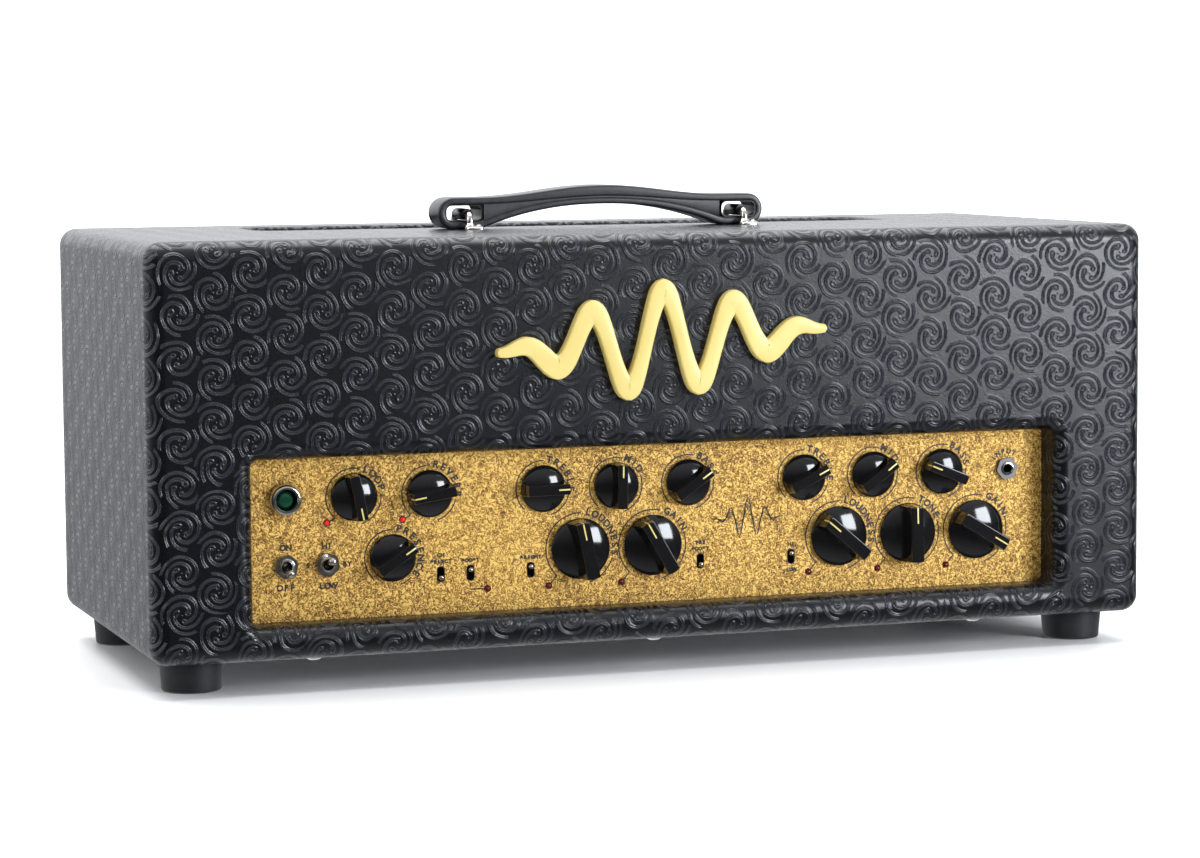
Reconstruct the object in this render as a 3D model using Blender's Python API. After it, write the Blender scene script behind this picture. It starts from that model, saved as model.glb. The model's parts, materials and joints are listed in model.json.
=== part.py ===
"""Guitar amplifier head, with each physical piece as its own closed solid.

A covered plywood cabinet stands on four feet and carries a strap handle. Its front board frames a recessed
control panel. Behind the panel a steel chassis holds the control board, the valves and the transformers.
The frame is in metres: +Z up, the front faces -Y, +X is to the right seen from the front, and the origin is
on the floor below the centre of the object.
"""

import math

import bmesh
import bpy
from mathutils import Vector

MM = 0.001
GAP = 0.3 * MM  # air between two pieces that touch on the real object

# Cabinet
CABINET_WIDTH = 711 * MM
CABINET_HEIGHT = 275 * MM
CABINET_DEPTH = 312 * MM
FOOT_HEIGHT = 21.5 * MM
BADGE_PROUD = 7 * MM  # how far the badge stands out of the front
EDGE_RADIUS = 12 * MM  # rounding of the cabinet's outer edges
COVER_THICKNESS = 1 * MM
WOOD_THICKNESS = 18 * MM
LINING_DEPTH = 11.5 * MM  # how far the covering wraps into the open back
RIM_RADIUS = 3 * MM

# Window in the front board, measured from the cabinet's underside
WINDOW_HALF_WIDTH = 287.5 * MM
WINDOW_LOW = 23 * MM
WINDOW_HIGH = 132 * MM
WINDOW_CORNER = 5 * MM
LIP_RADIUS = 10 * MM
PANEL_RECESS = 24 * MM  # from the cabinet's front to the panel's face

# Vent in the top
VENT_WIDTH = 476 * MM
VENT_DEPTH = 80 * MM
VENT_CORNER = 16 * MM
VENT_FROM_FRONT = 176 * MM

# Grilles and back panel
TOP_GRILLE_MARGIN = 10 * MM
TOP_GRILLE_SLOTS = 14
BACK_GRILLE_SLOTS = 16
GRILLE_THICKNESS = 1.2 * MM
GRILLE_SLOT_WIDTH = 22 * MM
GRILLE_SLOT_MARGIN = 5 * MM
GRILLE_OVERLAP = 9 * MM
BACK_PANEL_THICKNESS = 12 * MM
BACK_PANEL_INSET = 3 * MM
BACK_PANEL_CORNER = 2 * MM
BACK_WINDOW_HALF_WIDTH = 270 * MM
BACK_WINDOW_MARGIN = 26 * MM
BACK_WINDOW_CORNER = 8 * MM

# Derived planes
HALF_WIDTH = CABINET_WIDTH / 2
FRONT_Y = BADGE_PROUD - (CABINET_DEPTH + BADGE_PROUD) / 2
BACK_Y = FRONT_Y + CABINET_DEPTH
BASE_Z = FOOT_HEIGHT
TOP_Z = BASE_Z + CABINET_HEIGHT
PANEL_Y = FRONT_Y + PANEL_RECESS
WOOD_OUTER = COVER_THICKNESS + GAP  # inset of the boards from the outside
WOOD_INNER = WOOD_OUTER + WOOD_THICKNESS
LINING_FACE = WOOD_INNER + WOOD_OUTER

# Chassis and panel
PANEL_THICKNESS = 2 * MM
PANEL_HALF_WIDTH = 299 * MM
PANEL_MARGIN = 3.5 * MM  # overlap of the panel behind the window's edges
CHASSIS_HALF_WIDTH = 300 * MM
CHASSIS_WALL = 2 * MM
CHASSIS_LIP = 18 * MM
CHASSIS_HEIGHT = 114 * MM
CHASSIS_BACK_INSET = 12 * MM
CHASSIS_FRONT_Y = PANEL_Y + PANEL_THICKNESS + GAP
CHASSIS_BACK_Y = BACK_Y - CHASSIS_BACK_INSET
CHASSIS_LOW = BASE_Z + WOOD_INNER + GAP
CHASSIS_TOP = CHASSIS_LOW + CHASSIS_HEIGHT

# Chassis bolts and rear sockets
BOLT_PLACES = (
    ("chassis_bolt_front_left", -240 * MM, FRONT_Y + 36 * MM),
    ("chassis_bolt_front_middle", 0, FRONT_Y + 36 * MM),
    ("chassis_bolt_front_right", 240 * MM, FRONT_Y + 36 * MM),
    ("chassis_bolt_back_left", -240 * MM, CHASSIS_BACK_Y - 9 * MM),
    ("chassis_bolt_back_right", 240 * MM, CHASSIS_BACK_Y - 9 * MM),
)
BOLT_RADIUS = 3 * MM
BOLT_HOLE = 3.5 * MM
INLET_X = -245 * MM
REAR_JACKS_X = (60 * MM, 85 * MM, 110 * MM, 160 * MM, 185 * MM)
REAR_ROW = CHASSIS_LOW + 60 * MM
REAR_JACK_HOLE = 6.2 * MM
INLET_HALF_WIDTH = 14 * MM
INLET_HALF_HEIGHT = 11 * MM

# Rows of controls, measured from the cabinet's underside
UPPER_ROW = BASE_Z + 103.8 * MM
LOWER_ROW = BASE_Z + 62 * MM
TOGGLE_ROW = BASE_Z + 59.5 * MM
SLOT_ROW = BASE_Z + 49.2 * MM

# Knobs: each group starts at its own X, and columns count in knob pitches
KNOB_PITCH = 52 * MM
EFFECTS_X = -214.5 * MM
CHANNEL_ONE_X = -83 * MM
CHANNEL_TWO_X = 106 * MM
SMALL_KNOB = {"radius": 15.9 * MM, "height": 16 * MM, "bar": 8.4 * MM}
BIG_KNOB = {"radius": 20.7 * MM, "height": 20 * MM, "bar": 10.8 * MM}
KNOB_LIFT = 1 * MM  # air under the skirt
SHAFT_RADIUS = 3 * MM
SHAFT_DEPTH = 10 * MM  # how far a shaft reaches behind the panel's face
# name, group, column, row, size, pointer angle in degrees clockwise from straight up
KNOBS = (
    ("knob_loop_level", EFFECTS_X, 0, UPPER_ROW, SMALL_KNOB, 169),
    ("knob_reverb", EFFECTS_X, 1, UPPER_ROW, SMALL_KNOB, -99),
    ("knob_presence", EFFECTS_X, 0.5, LOWER_ROW, SMALL_KNOB, 57),
    ("knob_treble_one", CHANNEL_ONE_X, 0, UPPER_ROW, SMALL_KNOB, 89),
    ("knob_mid_one", CHANNEL_ONE_X, 1, UPPER_ROW, SMALL_KNOB, 1),
    ("knob_bass_one", CHANNEL_ONE_X, 2, UPPER_ROW, SMALL_KNOB, 56),
    ("knob_loudness_one", CHANNEL_ONE_X, 0.5, LOWER_ROW, BIG_KNOB, -12),
    ("knob_gain_one", CHANNEL_ONE_X, 1.5, LOWER_ROW, BIG_KNOB, -30),
    ("knob_treble_two", CHANNEL_TWO_X, 0, UPPER_ROW, SMALL_KNOB, 64),
    ("knob_mid_two", CHANNEL_TWO_X, 1, UPPER_ROW, SMALL_KNOB, 54),
    ("knob_bass_two", CHANNEL_TWO_X, 2, UPPER_ROW, SMALL_KNOB, -68),
    ("knob_loudness_two", CHANNEL_TWO_X, 0.5, LOWER_ROW, BIG_KNOB, -50),
    ("knob_equaliser_two", CHANNEL_TWO_X, 1.5, LOWER_ROW, BIG_KNOB, -1),
    ("knob_gain_two", CHANNEL_TWO_X, 2.5, LOWER_ROW, BIG_KNOB, 121),
)

# Small switches in slots: name, X, +1 when the lever stands up or -1 when it stands down
SLOT_WIDTH = 5.6 * MM
SLOT_HEIGHT = 10.6 * MM
SLOT_SWITCHES = (
    ("lever_channel", -155 * MM, -1),
    ("lever_boost", -134.3 * MM, 1),
    ("lever_bright_one", -92 * MM, 1),
    ("lever_boost_two", 30 * MM, -1),
    ("lever_loudness_two", 96.8 * MM, 1),
)
SLOT_LEVER_PIVOT = 7 * MM  # behind the panel's face
SLOT_LEVER_TILT = 15
SLOT_LEVER_LENGTH = 8.4 * MM
SLOT_LEVER_RADIUS = 1 * MM
SLOT_LEVER_TIP = 1.7 * MM

# Toggle switches
TOGGLE_TILT = 14
TOGGLE_PIVOT = 0.5 * MM  # behind the panel's face
TOGGLE_LEVER_LENGTH = 17 * MM
POWER_X = -261 * MM
STANDBY_X = -233 * MM

# Indicator lamps and input
LAMP_RADIUS = 1.5 * MM
SMALL_LAMP_OFFSET = (-18.5 * MM, -16.6 * MM)
BIG_LAMP_OFFSET = (-22.3 * MM, -24.3 * MM)
BOOST_LAMP_OFFSET = (11.8 * MM, -11.2 * MM)
PILOT_X = -261 * MM
JACK_X = 260 * MM

# Holes for the controls
SHAFT_HOLE = 4.8 * MM
LAMP_HOLE = 2 * MM
TOGGLE_HOLE = 6.4 * MM
PILOT_HOLE = 8.4 * MM
JACK_HOLE = 5.2 * MM

# Control board and its pots
BOARD_LOW_X = -246 * MM
BOARD_HIGH_X = 250 * MM
BOARD_THICKNESS = 1.6 * MM
POT_RADIUS = 8.2 * MM
POT_DEPTH = 11 * MM
POT_BUSHING = 4.4 * MM
POT_BORE = 3.3 * MM
BOARD_Y = CHASSIS_FRONT_Y + CHASSIS_WALL + GAP + POT_DEPTH

# Badge: a ribbon that follows a burst of waves
BADGE_CENTRE = (-6 * MM, BASE_Z + 203 * MM)
BADGE_LENGTH = 231 * MM
BADGE_AMPLITUDE = 33 * MM
BADGE_WAVES = 4.5
BADGE_STROKE = 17 * MM
BADGE_RISE = 0.045  # slope of the badge's centre line
BADGE_POINTS = 72

# Handle
HANDLE_Y = FRONT_Y + 142 * MM
HANDLE_OFFSET = -2.5 * MM  # the strap has slid to the left
HANDLE_HALF_LENGTH = 120.5 * MM
HANDLE_WIDTH = 27 * MM
HANDLE_END_HEIGHT = 22 * MM
HANDLE_APEX = 29.4 * MM
HANDLE_UNDERSIDE = 16 * MM  # height of the arch under the grip
HANDLE_ARCH_POWER = 2.2  # how quickly the underside rises from the loops
LOOP_LENGTH = 26 * MM
LOOP_HEIGHT = 11 * MM
LOOP_SKIN = 5.5 * MM
BRACKET_X = 102 * MM
BRACKET_RADIUS = 2.5 * MM
BRACKET_HALF_SPAN = 18.5 * MM
BRACKET_BAR_HEIGHT = 10.5 * MM
BRACKET_FOOT = 13 * MM

# Feet
FOOT_INSET_X = 34.5 * MM
FOOT_INSET_Y = 44 * MM
FOOT_TOP_RADIUS = 21.5 * MM
FOOT_BASE_RADIUS = 20 * MM

# Valves stand on the chassis: name, X, Y
POWER_VALVES = (
    ("power_valve_1", -60 * MM, 92 * MM),
    ("power_valve_2", -8 * MM, 92 * MM),
    ("power_valve_3", 44 * MM, 92 * MM),
    ("power_valve_4", 96 * MM, 92 * MM),
)
PREAMP_VALVES = (
    ("preamp_valve_1", 180 * MM, -40 * MM),
    ("preamp_valve_2", 220 * MM, -40 * MM),
    ("preamp_valve_3", 260 * MM, -40 * MM),
)

# Transformers stand on the chassis: name, X, core size, reach of each bell
TRANSFORMER_Y = 60 * MM
TRANSFORMERS = (
    ("power_transformer", -235 * MM, (96 * MM, 44 * MM, 84 * MM), 22 * MM),
    ("output_transformer", -130 * MM, (76 * MM, 36 * MM, 68 * MM), 19 * MM),
)
REVERB_TANK_SIZE = (236 * MM, 32 * MM, 100 * MM)
REVERB_TANK_LIFT = 8 * MM  # above the chassis

RING_STEPS = 3  # steps in a quarter round of a ring's corner
ARC_STEPS = 3  # steps in a quarter round of an edge

FACE_OUT = math.radians(90)  # turns a local +Z to the front


# ---------------------------------------------------------------- helpers


def clear_scene():
    for obj in list(bpy.data.objects):
        bpy.data.objects.remove(obj)


def material(name, colour, roughness, metallic=0.0):
    made = bpy.data.materials.new(name)
    made.use_nodes = True
    shader = made.node_tree.nodes["Principled BSDF"]
    shader.inputs["Base Color"].default_value = (*colour, 1.0)
    shader.inputs["Roughness"].default_value = roughness
    shader.inputs["Metallic"].default_value = metallic
    made.diffuse_color = (*colour, 1.0)
    return made


def add_object(name, mesh, location=(0, 0, 0), rotation=(0, 0, 0)):
    obj = bpy.data.objects.new(name, mesh)
    obj.location = location
    obj.rotation_euler = rotation
    bpy.context.scene.collection.objects.link(obj)
    return obj


def finish_mesh(bm, name, finish, smooth_angle=35):
    """Turns a bmesh into a mesh whose faces point out and whose round stretches shade smooth."""
    bmesh.ops.recalc_face_normals(bm, faces=bm.faces)
    mesh = bpy.data.meshes.new(name)
    bm.to_mesh(mesh)
    bm.free()
    if finish:
        mesh.materials.append(finish)
    mesh.shade_smooth()
    mesh.set_sharp_from_angle(angle=math.radians(smooth_angle))
    return mesh


def loft_into(bm, rings, joined=False):
    """Adds a body through rings of points: capped at both ends, or with its last ring joined to its first.

    A ring with one point is a tip.
    """
    loops = [[bm.verts.new(point) for point in ring] for ring in rings]
    pairs = list(zip(loops, loops[1:]))
    if joined:
        pairs.append((loops[-1], loops[0]))
    for near, far in pairs:
        count = max(len(near), len(far))
        for i in range(count):
            j = (i + 1) % count
            if len(near) == 1:
                bm.faces.new((near[0], far[i], far[j]))
            elif len(far) == 1:
                bm.faces.new((near[i], far[0], near[j]))
            else:
                bm.faces.new((near[i], far[i], far[j], near[j]))
    if not joined:
        for end in (loops[0], loops[-1]):
            if len(end) > 2:
                bm.faces.new(end)


def circle(radius, z, segments, centre=(0, 0)):
    if radius == 0:
        return [Vector((centre[0], centre[1], z))]
    turn = 2 * math.pi / segments
    return [
        Vector((centre[0] + radius * math.cos(i * turn), centre[1] + radius * math.sin(i * turn), z))
        for i in range(segments)
    ]


def lathe_into(bm, profile, segments, centre=(0, 0)):
    """Adds a body turned about +Z from (radius, height) points."""
    loft_into(bm, [circle(radius, z, segments, centre) for radius, z in profile])


def lathe(name, profile, segments, finish):
    bm = bmesh.new()
    lathe_into(bm, profile, segments)
    return finish_mesh(bm, name, finish)


def box_into(bm, low, high):
    corners = ((low[0], low[1]), (high[0], low[1]), (high[0], high[1]), (low[0], high[1]))
    loft_into(bm, [[Vector((x, y, z)) for x, y in corners] for z in (low[2], high[2])])


def prism_into(bm, outline, low, high):
    """Adds an (x, y) outline extruded from one height to another."""
    loft_into(bm, [[Vector((x, y, z)) for x, y in outline] for z in (low, high)])


def rounded_outline(half_x, low, high, radius, steps=RING_STEPS):
    """Points round a rectangle with rounded corners, as (x, height) pairs."""
    points = []
    corners = (
        (half_x - radius, low + radius, -90),
        (half_x - radius, high - radius, 0),
        (-half_x + radius, high - radius, 90),
        (-half_x + radius, low + radius, 180),
    )
    for centre_x, centre_z, start in corners:
        for step in range(steps + 1):
            angle = math.radians(start + 90 * step / steps)
            points.append((centre_x + radius * math.cos(angle), centre_z + radius * math.sin(angle)))
    return points


def arc(centre, radius, start, end, steps=ARC_STEPS):
    """Points on an arc, with angles in degrees."""
    points = []
    for step in range(steps + 1):
        angle = math.radians(start + (end - start) * step / steps)
        points.append((centre[0] + radius * math.cos(angle), centre[1] + radius * math.sin(angle)))
    return points


def cutter(name, bm):
    """A tool body for a Boolean. It isn't part of the object."""
    obj = add_object(name, finish_mesh(bm, name, None))
    obj.hide_render = True
    obj.display_type = "WIRE"
    return obj


def boolean(obj, tool, operation):
    modifier = obj.modifiers.new(operation.lower(), "BOOLEAN")
    modifier.operation = operation
    modifier.solver = "EXACT"
    modifier.object = tool
    return obj


def fused_mesh(name, parts, finish):
    """One mesh from overlapping bodies, each given as a function that adds itself to a bmesh."""
    bodies = []
    for index, add in enumerate(parts):
        bm = bmesh.new()
        add(bm)
        bodies.append(add_object(f"{name}_{index}", finish_mesh(bm, name, finish)))
    for body in bodies[1:]:
        boolean(bodies[0], body, "UNION")
    graph = bpy.context.evaluated_depsgraph_get()
    graph.update()
    mesh = bpy.data.meshes.new_from_object(bodies[0].evaluated_get(graph))
    mesh.name = name
    for body in bodies:
        bpy.data.objects.remove(body)
    mesh.shade_smooth()
    mesh.set_sharp_from_angle(angle=math.radians(35))
    return mesh


# ---------------------------------------------------------------- cabinet


def cabinet_ring(inset, y):
    """A ring round the cabinet, inset from its outside."""
    radius = max(EDGE_RADIUS - inset, 0.5 * MM)
    outline = rounded_outline(HALF_WIDTH - inset, BASE_Z + inset, TOP_Z - inset, radius)
    return [Vector((x, y, z)) for x, z in outline]


def window_ring(outset, y):
    """A ring round the front board's window, outset from the visible opening."""
    outline = rounded_outline(
        WINDOW_HALF_WIDTH + outset,
        BASE_Z + WINDOW_LOW - outset,
        BASE_Z + WINDOW_HIGH + outset,
        WINDOW_CORNER + outset,
    )
    return [Vector((x, y, z)) for x, z in outline]


def outer_edges(depth):
    """(inset, y) points round the cabinet, from the back rim to the front, a depth below its surface."""
    radius = EDGE_RADIUS - depth
    back = arc((EDGE_RADIUS, BACK_Y - EDGE_RADIUS), radius, 90, 180)
    front = arc((EDGE_RADIUS, FRONT_Y + EDGE_RADIUS), radius, 180, 270)
    return back + front


def lip_edge(depth):
    """(outset, y) points of the window's rounded lip, from the front inwards."""
    radius = LIP_RADIUS - depth
    return arc((LIP_RADIUS, FRONT_Y + LIP_RADIUS), radius, 270, 180)


def make_cover(finish):
    """The covering wraps the outside, the window's edges and the back rim."""
    rim = (LINING_FACE - RIM_RADIUS, BACK_Y - RIM_RADIUS)
    lining_y = BACK_Y - LINING_DEPTH
    panel_y = PANEL_Y - GAP
    thickness = COVER_THICKNESS
    outside = [(LINING_FACE, lining_y)] + arc(rim, RIM_RADIUS, 0, 90, 2) + outer_edges(0)
    inside = [(LINING_FACE - thickness, lining_y)] + arc(rim, RIM_RADIUS - thickness, 0, 90, 2)
    inside += outer_edges(thickness)
    rings = [cabinet_ring(inset, y) for inset, y in outside]
    lip = lip_edge(0) + [(0, panel_y)]
    lip += [(thickness, panel_y)] + lip_edge(thickness)[::-1]
    rings += [window_ring(outset, y) for outset, y in lip]
    rings += [cabinet_ring(inset, y) for inset, y in reversed(inside)]
    bm = bmesh.new()
    loft_into(bm, rings, joined=True)
    return add_object("cabinet_cover", finish_mesh(bm, "cabinet_cover", finish))


def make_carcass(finish):
    """Top, bottom and sides, glued into one tube."""
    rim_y = BACK_Y - WOOD_OUTER
    profile = [(WOOD_INNER, rim_y - RIM_RADIUS), (WOOD_INNER - RIM_RADIUS, rim_y)]
    profile += outer_edges(WOOD_OUTER)
    profile += [(WOOD_INNER, FRONT_Y + WOOD_OUTER)]
    bm = bmesh.new()
    loft_into(bm, [cabinet_ring(inset, y) for inset, y in profile], joined=True)
    carcass = add_object("cabinet_carcass", finish_mesh(bm, "cabinet_carcass", finish))
    return boolean(carcass, window_tool("carcass_window_cutter", 0), "DIFFERENCE")


def window_tool(name, drop):
    """Tool for the wood behind the window's lip. Its lower edge can sit a drop further down."""
    rings = [window_ring(LIP_RADIUS, FRONT_Y - LIP_RADIUS)]
    rings += [window_ring(outset, y) for outset, y in lip_edge(WOOD_OUTER)]
    rings += [window_ring(WOOD_OUTER, PANEL_Y + LIP_RADIUS)]
    middle = BASE_Z + (WINDOW_LOW + WINDOW_HIGH) / 2
    for ring in rings:
        for point in ring:
            if point.z < middle:
                point.z -= drop
    bm = bmesh.new()
    loft_into(bm, rings)
    return cutter(name, bm)


def make_front_board(finish):
    """Board with two stiles and a top rail. The carcass's bottom makes the window's lower rail."""
    edge = WOOD_INNER + GAP
    low = (edge - HALF_WIDTH, FRONT_Y + WOOD_OUTER, BASE_Z + edge)
    high = (HALF_WIDTH - edge, PANEL_Y - GAP, TOP_Z - edge)
    bm = bmesh.new()
    box_into(bm, low, high)
    board = add_object("front_board", finish_mesh(bm, "front_board", finish))
    boolean(board, window_tool("board_window_cutter", LIP_RADIUS), "DIFFERENCE")


def cut_vent(pieces):
    """The long opening through the top."""
    half_depth = VENT_DEPTH / 2
    outline = rounded_outline(VENT_WIDTH / 2, -half_depth, half_depth, VENT_CORNER)
    middle = FRONT_Y + VENT_FROM_FRONT + half_depth
    reach = 2 * WOOD_THICKNESS
    bm = bmesh.new()
    prism_into(bm, [(x, y + middle) for x, y in outline], TOP_Z - reach, TOP_Z + reach)
    tool = cutter("vent_cutter", bm)
    for piece in pieces:
        boolean(piece, tool, "DIFFERENCE")


def slotted_sheet(name, size, thickness, slots, slot, finish):
    """A flat sheet in X and Y with a row of long slots. Its top face is at height 0."""
    width, depth = size
    bm = bmesh.new()
    box_into(bm, (-width / 2, -depth / 2, -thickness), (width / 2, depth / 2, 0))
    sheet = add_object(name, finish_mesh(bm, name, finish))
    half_width, half_depth = slot[0] / 2, slot[1] / 2
    pitch = width / (slots + 1)
    bm = bmesh.new()
    for index in range(slots):
        x = pitch * (index + 1) - width / 2
        low = (x - half_width, -half_depth, -2 * thickness)
        box_into(bm, low, (x + half_width, half_depth, thickness))
    tool = cutter(f"{name}_cutter", bm)
    tool.parent = sheet
    boolean(sheet, tool, "DIFFERENCE")
    return sheet


def make_top_grille(finish):
    """Sheet under the top, below the vent."""
    size = (VENT_WIDTH + 2 * TOP_GRILLE_MARGIN, VENT_DEPTH + 2 * TOP_GRILLE_MARGIN)
    slot = (GRILLE_SLOT_WIDTH, VENT_DEPTH - 2 * GRILLE_SLOT_MARGIN)
    grille = slotted_sheet("top_grille", size, GRILLE_THICKNESS, TOP_GRILLE_SLOTS, slot, finish)
    grille.location = (0, FRONT_Y + VENT_FROM_FRONT + VENT_DEPTH / 2, TOP_Z - WOOD_INNER - GAP)


def back_panel_heights():
    return CHASSIS_TOP + GAP, TOP_Z - LINING_FACE - GAP


def make_back_panel(finish):
    """Board across the upper half of the open back, with a window for the back grille."""
    low, high = back_panel_heights()
    back_y = BACK_Y - BACK_PANEL_INSET
    front_y = back_y - BACK_PANEL_THICKNESS
    half_width = HALF_WIDTH - LINING_FACE - GAP
    edge = rounded_outline(half_width, low, high, BACK_PANEL_CORNER)
    window_low, window_high = low + BACK_WINDOW_MARGIN, high - BACK_WINDOW_MARGIN
    hole = rounded_outline(BACK_WINDOW_HALF_WIDTH, window_low, window_high, BACK_WINDOW_CORNER)
    rings = [
        [Vector((x, front_y, z)) for x, z in edge],
        [Vector((x, back_y, z)) for x, z in edge],
        [Vector((x, back_y, z)) for x, z in hole],
        [Vector((x, front_y, z)) for x, z in hole],
    ]
    bm = bmesh.new()
    loft_into(bm, rings, joined=True)
    add_object("back_panel", finish_mesh(bm, "back_panel", finish))


def make_back_grille(finish):
    """Sheet on the inside of the back panel's window."""
    low, high = back_panel_heights()
    height = high - low - 2 * BACK_WINDOW_MARGIN
    size = (2 * (BACK_WINDOW_HALF_WIDTH + GRILLE_OVERLAP), height + 2 * GRILLE_OVERLAP)
    slot = (GRILLE_SLOT_WIDTH, height - 2 * GRILLE_SLOT_MARGIN)
    grille = slotted_sheet("back_grille", size, GRILLE_THICKNESS, BACK_GRILLE_SLOTS, slot, finish)
    front_y = BACK_Y - BACK_PANEL_INSET - BACK_PANEL_THICKNESS - GAP
    grille.location = (0, front_y, (low + high) / 2)
    grille.rotation_euler = (-FACE_OUT, 0, 0)


def make_feet(finish):
    top = FOOT_HEIGHT - GAP
    profile = (
        (0, 0),
        (FOOT_BASE_RADIUS - 1.5 * MM, 0),
        (FOOT_BASE_RADIUS, 1.5 * MM),
        (FOOT_TOP_RADIUS, top - 1 * MM),
        (FOOT_TOP_RADIUS - 1 * MM, top),
        (0, top),
    )
    mesh = lathe("foot", profile, 24, finish)
    across = HALF_WIDTH - FOOT_INSET_X
    places = (
        ("foot_front_left", -across, FRONT_Y + FOOT_INSET_Y),
        ("foot_front_right", across, FRONT_Y + FOOT_INSET_Y),
        ("foot_back_left", -across, BACK_Y - FOOT_INSET_Y),
        ("foot_back_right", across, BACK_Y - FOOT_INSET_Y),
    )
    for name, x, y in places:
        add_object(name, mesh, (x, y, 0))


# ---------------------------------------------------------------- badge

def badge_height(t):
    """Height of the wave's centre line, for t from 0 to 1 along the badge."""
    burst = math.sin(math.pi * min(max(t, 0), 1)) ** 1.5
    return BADGE_AMPLITUDE * burst * math.sin(2 * math.pi * BADGE_WAVES * t)


def badge_outline():
    """The two edges of a ribbon that follows a burst of waves, tapering to rounded ends."""
    upper, lower = [], []
    step = 1 / BADGE_POINTS
    for index in range(BADGE_POINTS + 1):
        t = index * step
        x = (t - 0.5) * BADGE_LENGTH
        slope = (badge_height(t + step / 2) - badge_height(t - step / 2)) / (BADGE_LENGTH * step)
        length = math.hypot(1, slope)
        half = BADGE_STROKE / 2 * min(1, 0.35 + math.sin(math.pi * t) * 1.6) / (1 + 0.18 * abs(slope))
        z = badge_height(t) + BADGE_RISE * x
        upper.append((x - half * slope / length, z + half / length))
        lower.append((x + half * slope / length, z - half / length))
    return upper + lower[::-1]


def make_badge(finish):
    bm = bmesh.new()
    prism_into(bm, badge_outline(), GAP, BADGE_PROUD)
    mesh = finish_mesh(bm, "badge", finish)
    add_object("badge", mesh, (BADGE_CENTRE[0], FRONT_Y, BADGE_CENTRE[1]), (FACE_OUT, 0, 0))


# ---------------------------------------------------------------- handle


def strap_share(x):
    """0 at the middle of the strap, and 1 from where its loops start."""
    return min(1, abs(x) / (HANDLE_HALF_LENGTH - LOOP_LENGTH - LOOP_SKIN))


def strap_top(x):
    """Height of the strap's upper edge: level over the loops, arched between them."""
    blend = 0.5 + 0.5 * math.cos(math.pi * strap_share(x))
    return HANDLE_END_HEIGHT + (HANDLE_APEX - HANDLE_END_HEIGHT) * blend


def strap_underside(x):
    return HANDLE_UNDERSIDE * (1 - strap_share(x) ** HANDLE_ARCH_POWER)


def make_handle(finish):
    """Strap with a loop at each end. It slides along the brackets' bars."""
    end_radius = HANDLE_END_HEIGHT / 2
    straight = HANDLE_HALF_LENGTH - end_radius
    steps = 14
    along = [-straight + 2 * straight * i / steps for i in range(steps + 1)]
    top = [(x, strap_top(x)) for x in reversed(along)]
    bottom = [(x, strap_underside(x)) for x in along]
    right_end = arc((straight, end_radius), end_radius, -90, 90, 8)[1:-1]
    left_end = arc((-straight, end_radius), end_radius, 90, 270, 8)[1:-1]
    outline = bottom + right_end + top + left_end
    bm = bmesh.new()
    prism_into(bm, outline, -HANDLE_WIDTH / 2, HANDLE_WIDTH / 2)
    place = (HANDLE_OFFSET, HANDLE_Y, TOP_Z + GAP)
    mesh = finish_mesh(bm, "handle_strap", finish)
    strap = add_object("handle_strap", mesh, place, (FACE_OUT, 0, 0))
    bm = bmesh.new()
    loop_middle = HANDLE_HALF_LENGTH - LOOP_SKIN - LOOP_LENGTH / 2
    half_height = LOOP_HEIGHT / 2
    low, high = end_radius - half_height, end_radius + half_height
    hole = rounded_outline(LOOP_LENGTH / 2, low, high, half_height - 0.1 * MM)
    for side in (-1, 1):
        prism_into(bm, [(x + side * loop_middle, z) for x, z in hole], -HANDLE_WIDTH, HANDLE_WIDTH)
    tool = cutter("handle_loop_cutter", bm)
    tool.location = place
    tool.rotation_euler = (FACE_OUT, 0, 0)
    boolean(strap, tool, "DIFFERENCE")


def make_brackets(finish):
    """A bar through each loop of the strap, on two legs with screwed feet."""

    def add_bar(bm):
        bend = 4 * MM
        top = BRACKET_BAR_HEIGHT
        span = BRACKET_HALF_SPAN
        path = [(-span, 0)] + arc((-span + bend, top - bend), bend, 180, 90, 3)
        path += arc((span - bend, top - bend), bend, 90, 0, 3) + [(span, 0)]
        rings = []
        for index, (y, z) in enumerate(path):
            before = Vector(path[max(index - 1, 0)])
            after = Vector(path[min(index + 1, len(path) - 1)])
            along = (after - before).normalized()
            across = Vector((0, -along[1], along[0]))
            ring = []
            for step in range(8):
                angle = 2 * math.pi * step / 8
                offset = across * math.cos(angle) + Vector((1, 0, 0)) * math.sin(angle)
                ring.append(Vector((0, y, z)) + offset * BRACKET_RADIUS)
            rings.append(ring)
        loft_into(bm, rings)

    def foot(side):
        def add(bm):
            middle = side * (BRACKET_HALF_SPAN + 1 * MM)
            outline = rounded_outline(BRACKET_FOOT / 2, middle - 4.5 * MM, middle + 4.5 * MM, 3 * MM, 2)
            prism_into(bm, [(x + 3 * MM, y) for x, y in outline], GAP, 2 * MM)

        return add

    mesh = fused_mesh("handle_bracket", (add_bar, foot(-1), foot(1)), finish)
    add_object("handle_bracket_left", mesh, (-BRACKET_X, HANDLE_Y, TOP_Z))
    add_object("handle_bracket_right", mesh, (BRACKET_X, HANDLE_Y, TOP_Z))


# ---------------------------------------------------------------- panel and chassis


def control_holes():
    """(X, Z, radius) of every round hole through the panel and the chassis front."""
    holes = [(group + column * KNOB_PITCH, row, SHAFT_HOLE) for _, group, column, row, _, _ in KNOBS]
    holes += [(x, z, LAMP_HOLE) for x, z in lamp_places()]
    holes += [(POWER_X, TOGGLE_ROW, TOGGLE_HOLE), (STANDBY_X, TOGGLE_ROW, TOGGLE_HOLE)]
    holes += [(PILOT_X, UPPER_ROW, PILOT_HOLE), (JACK_X, UPPER_ROW, JACK_HOLE)]
    return holes


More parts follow.
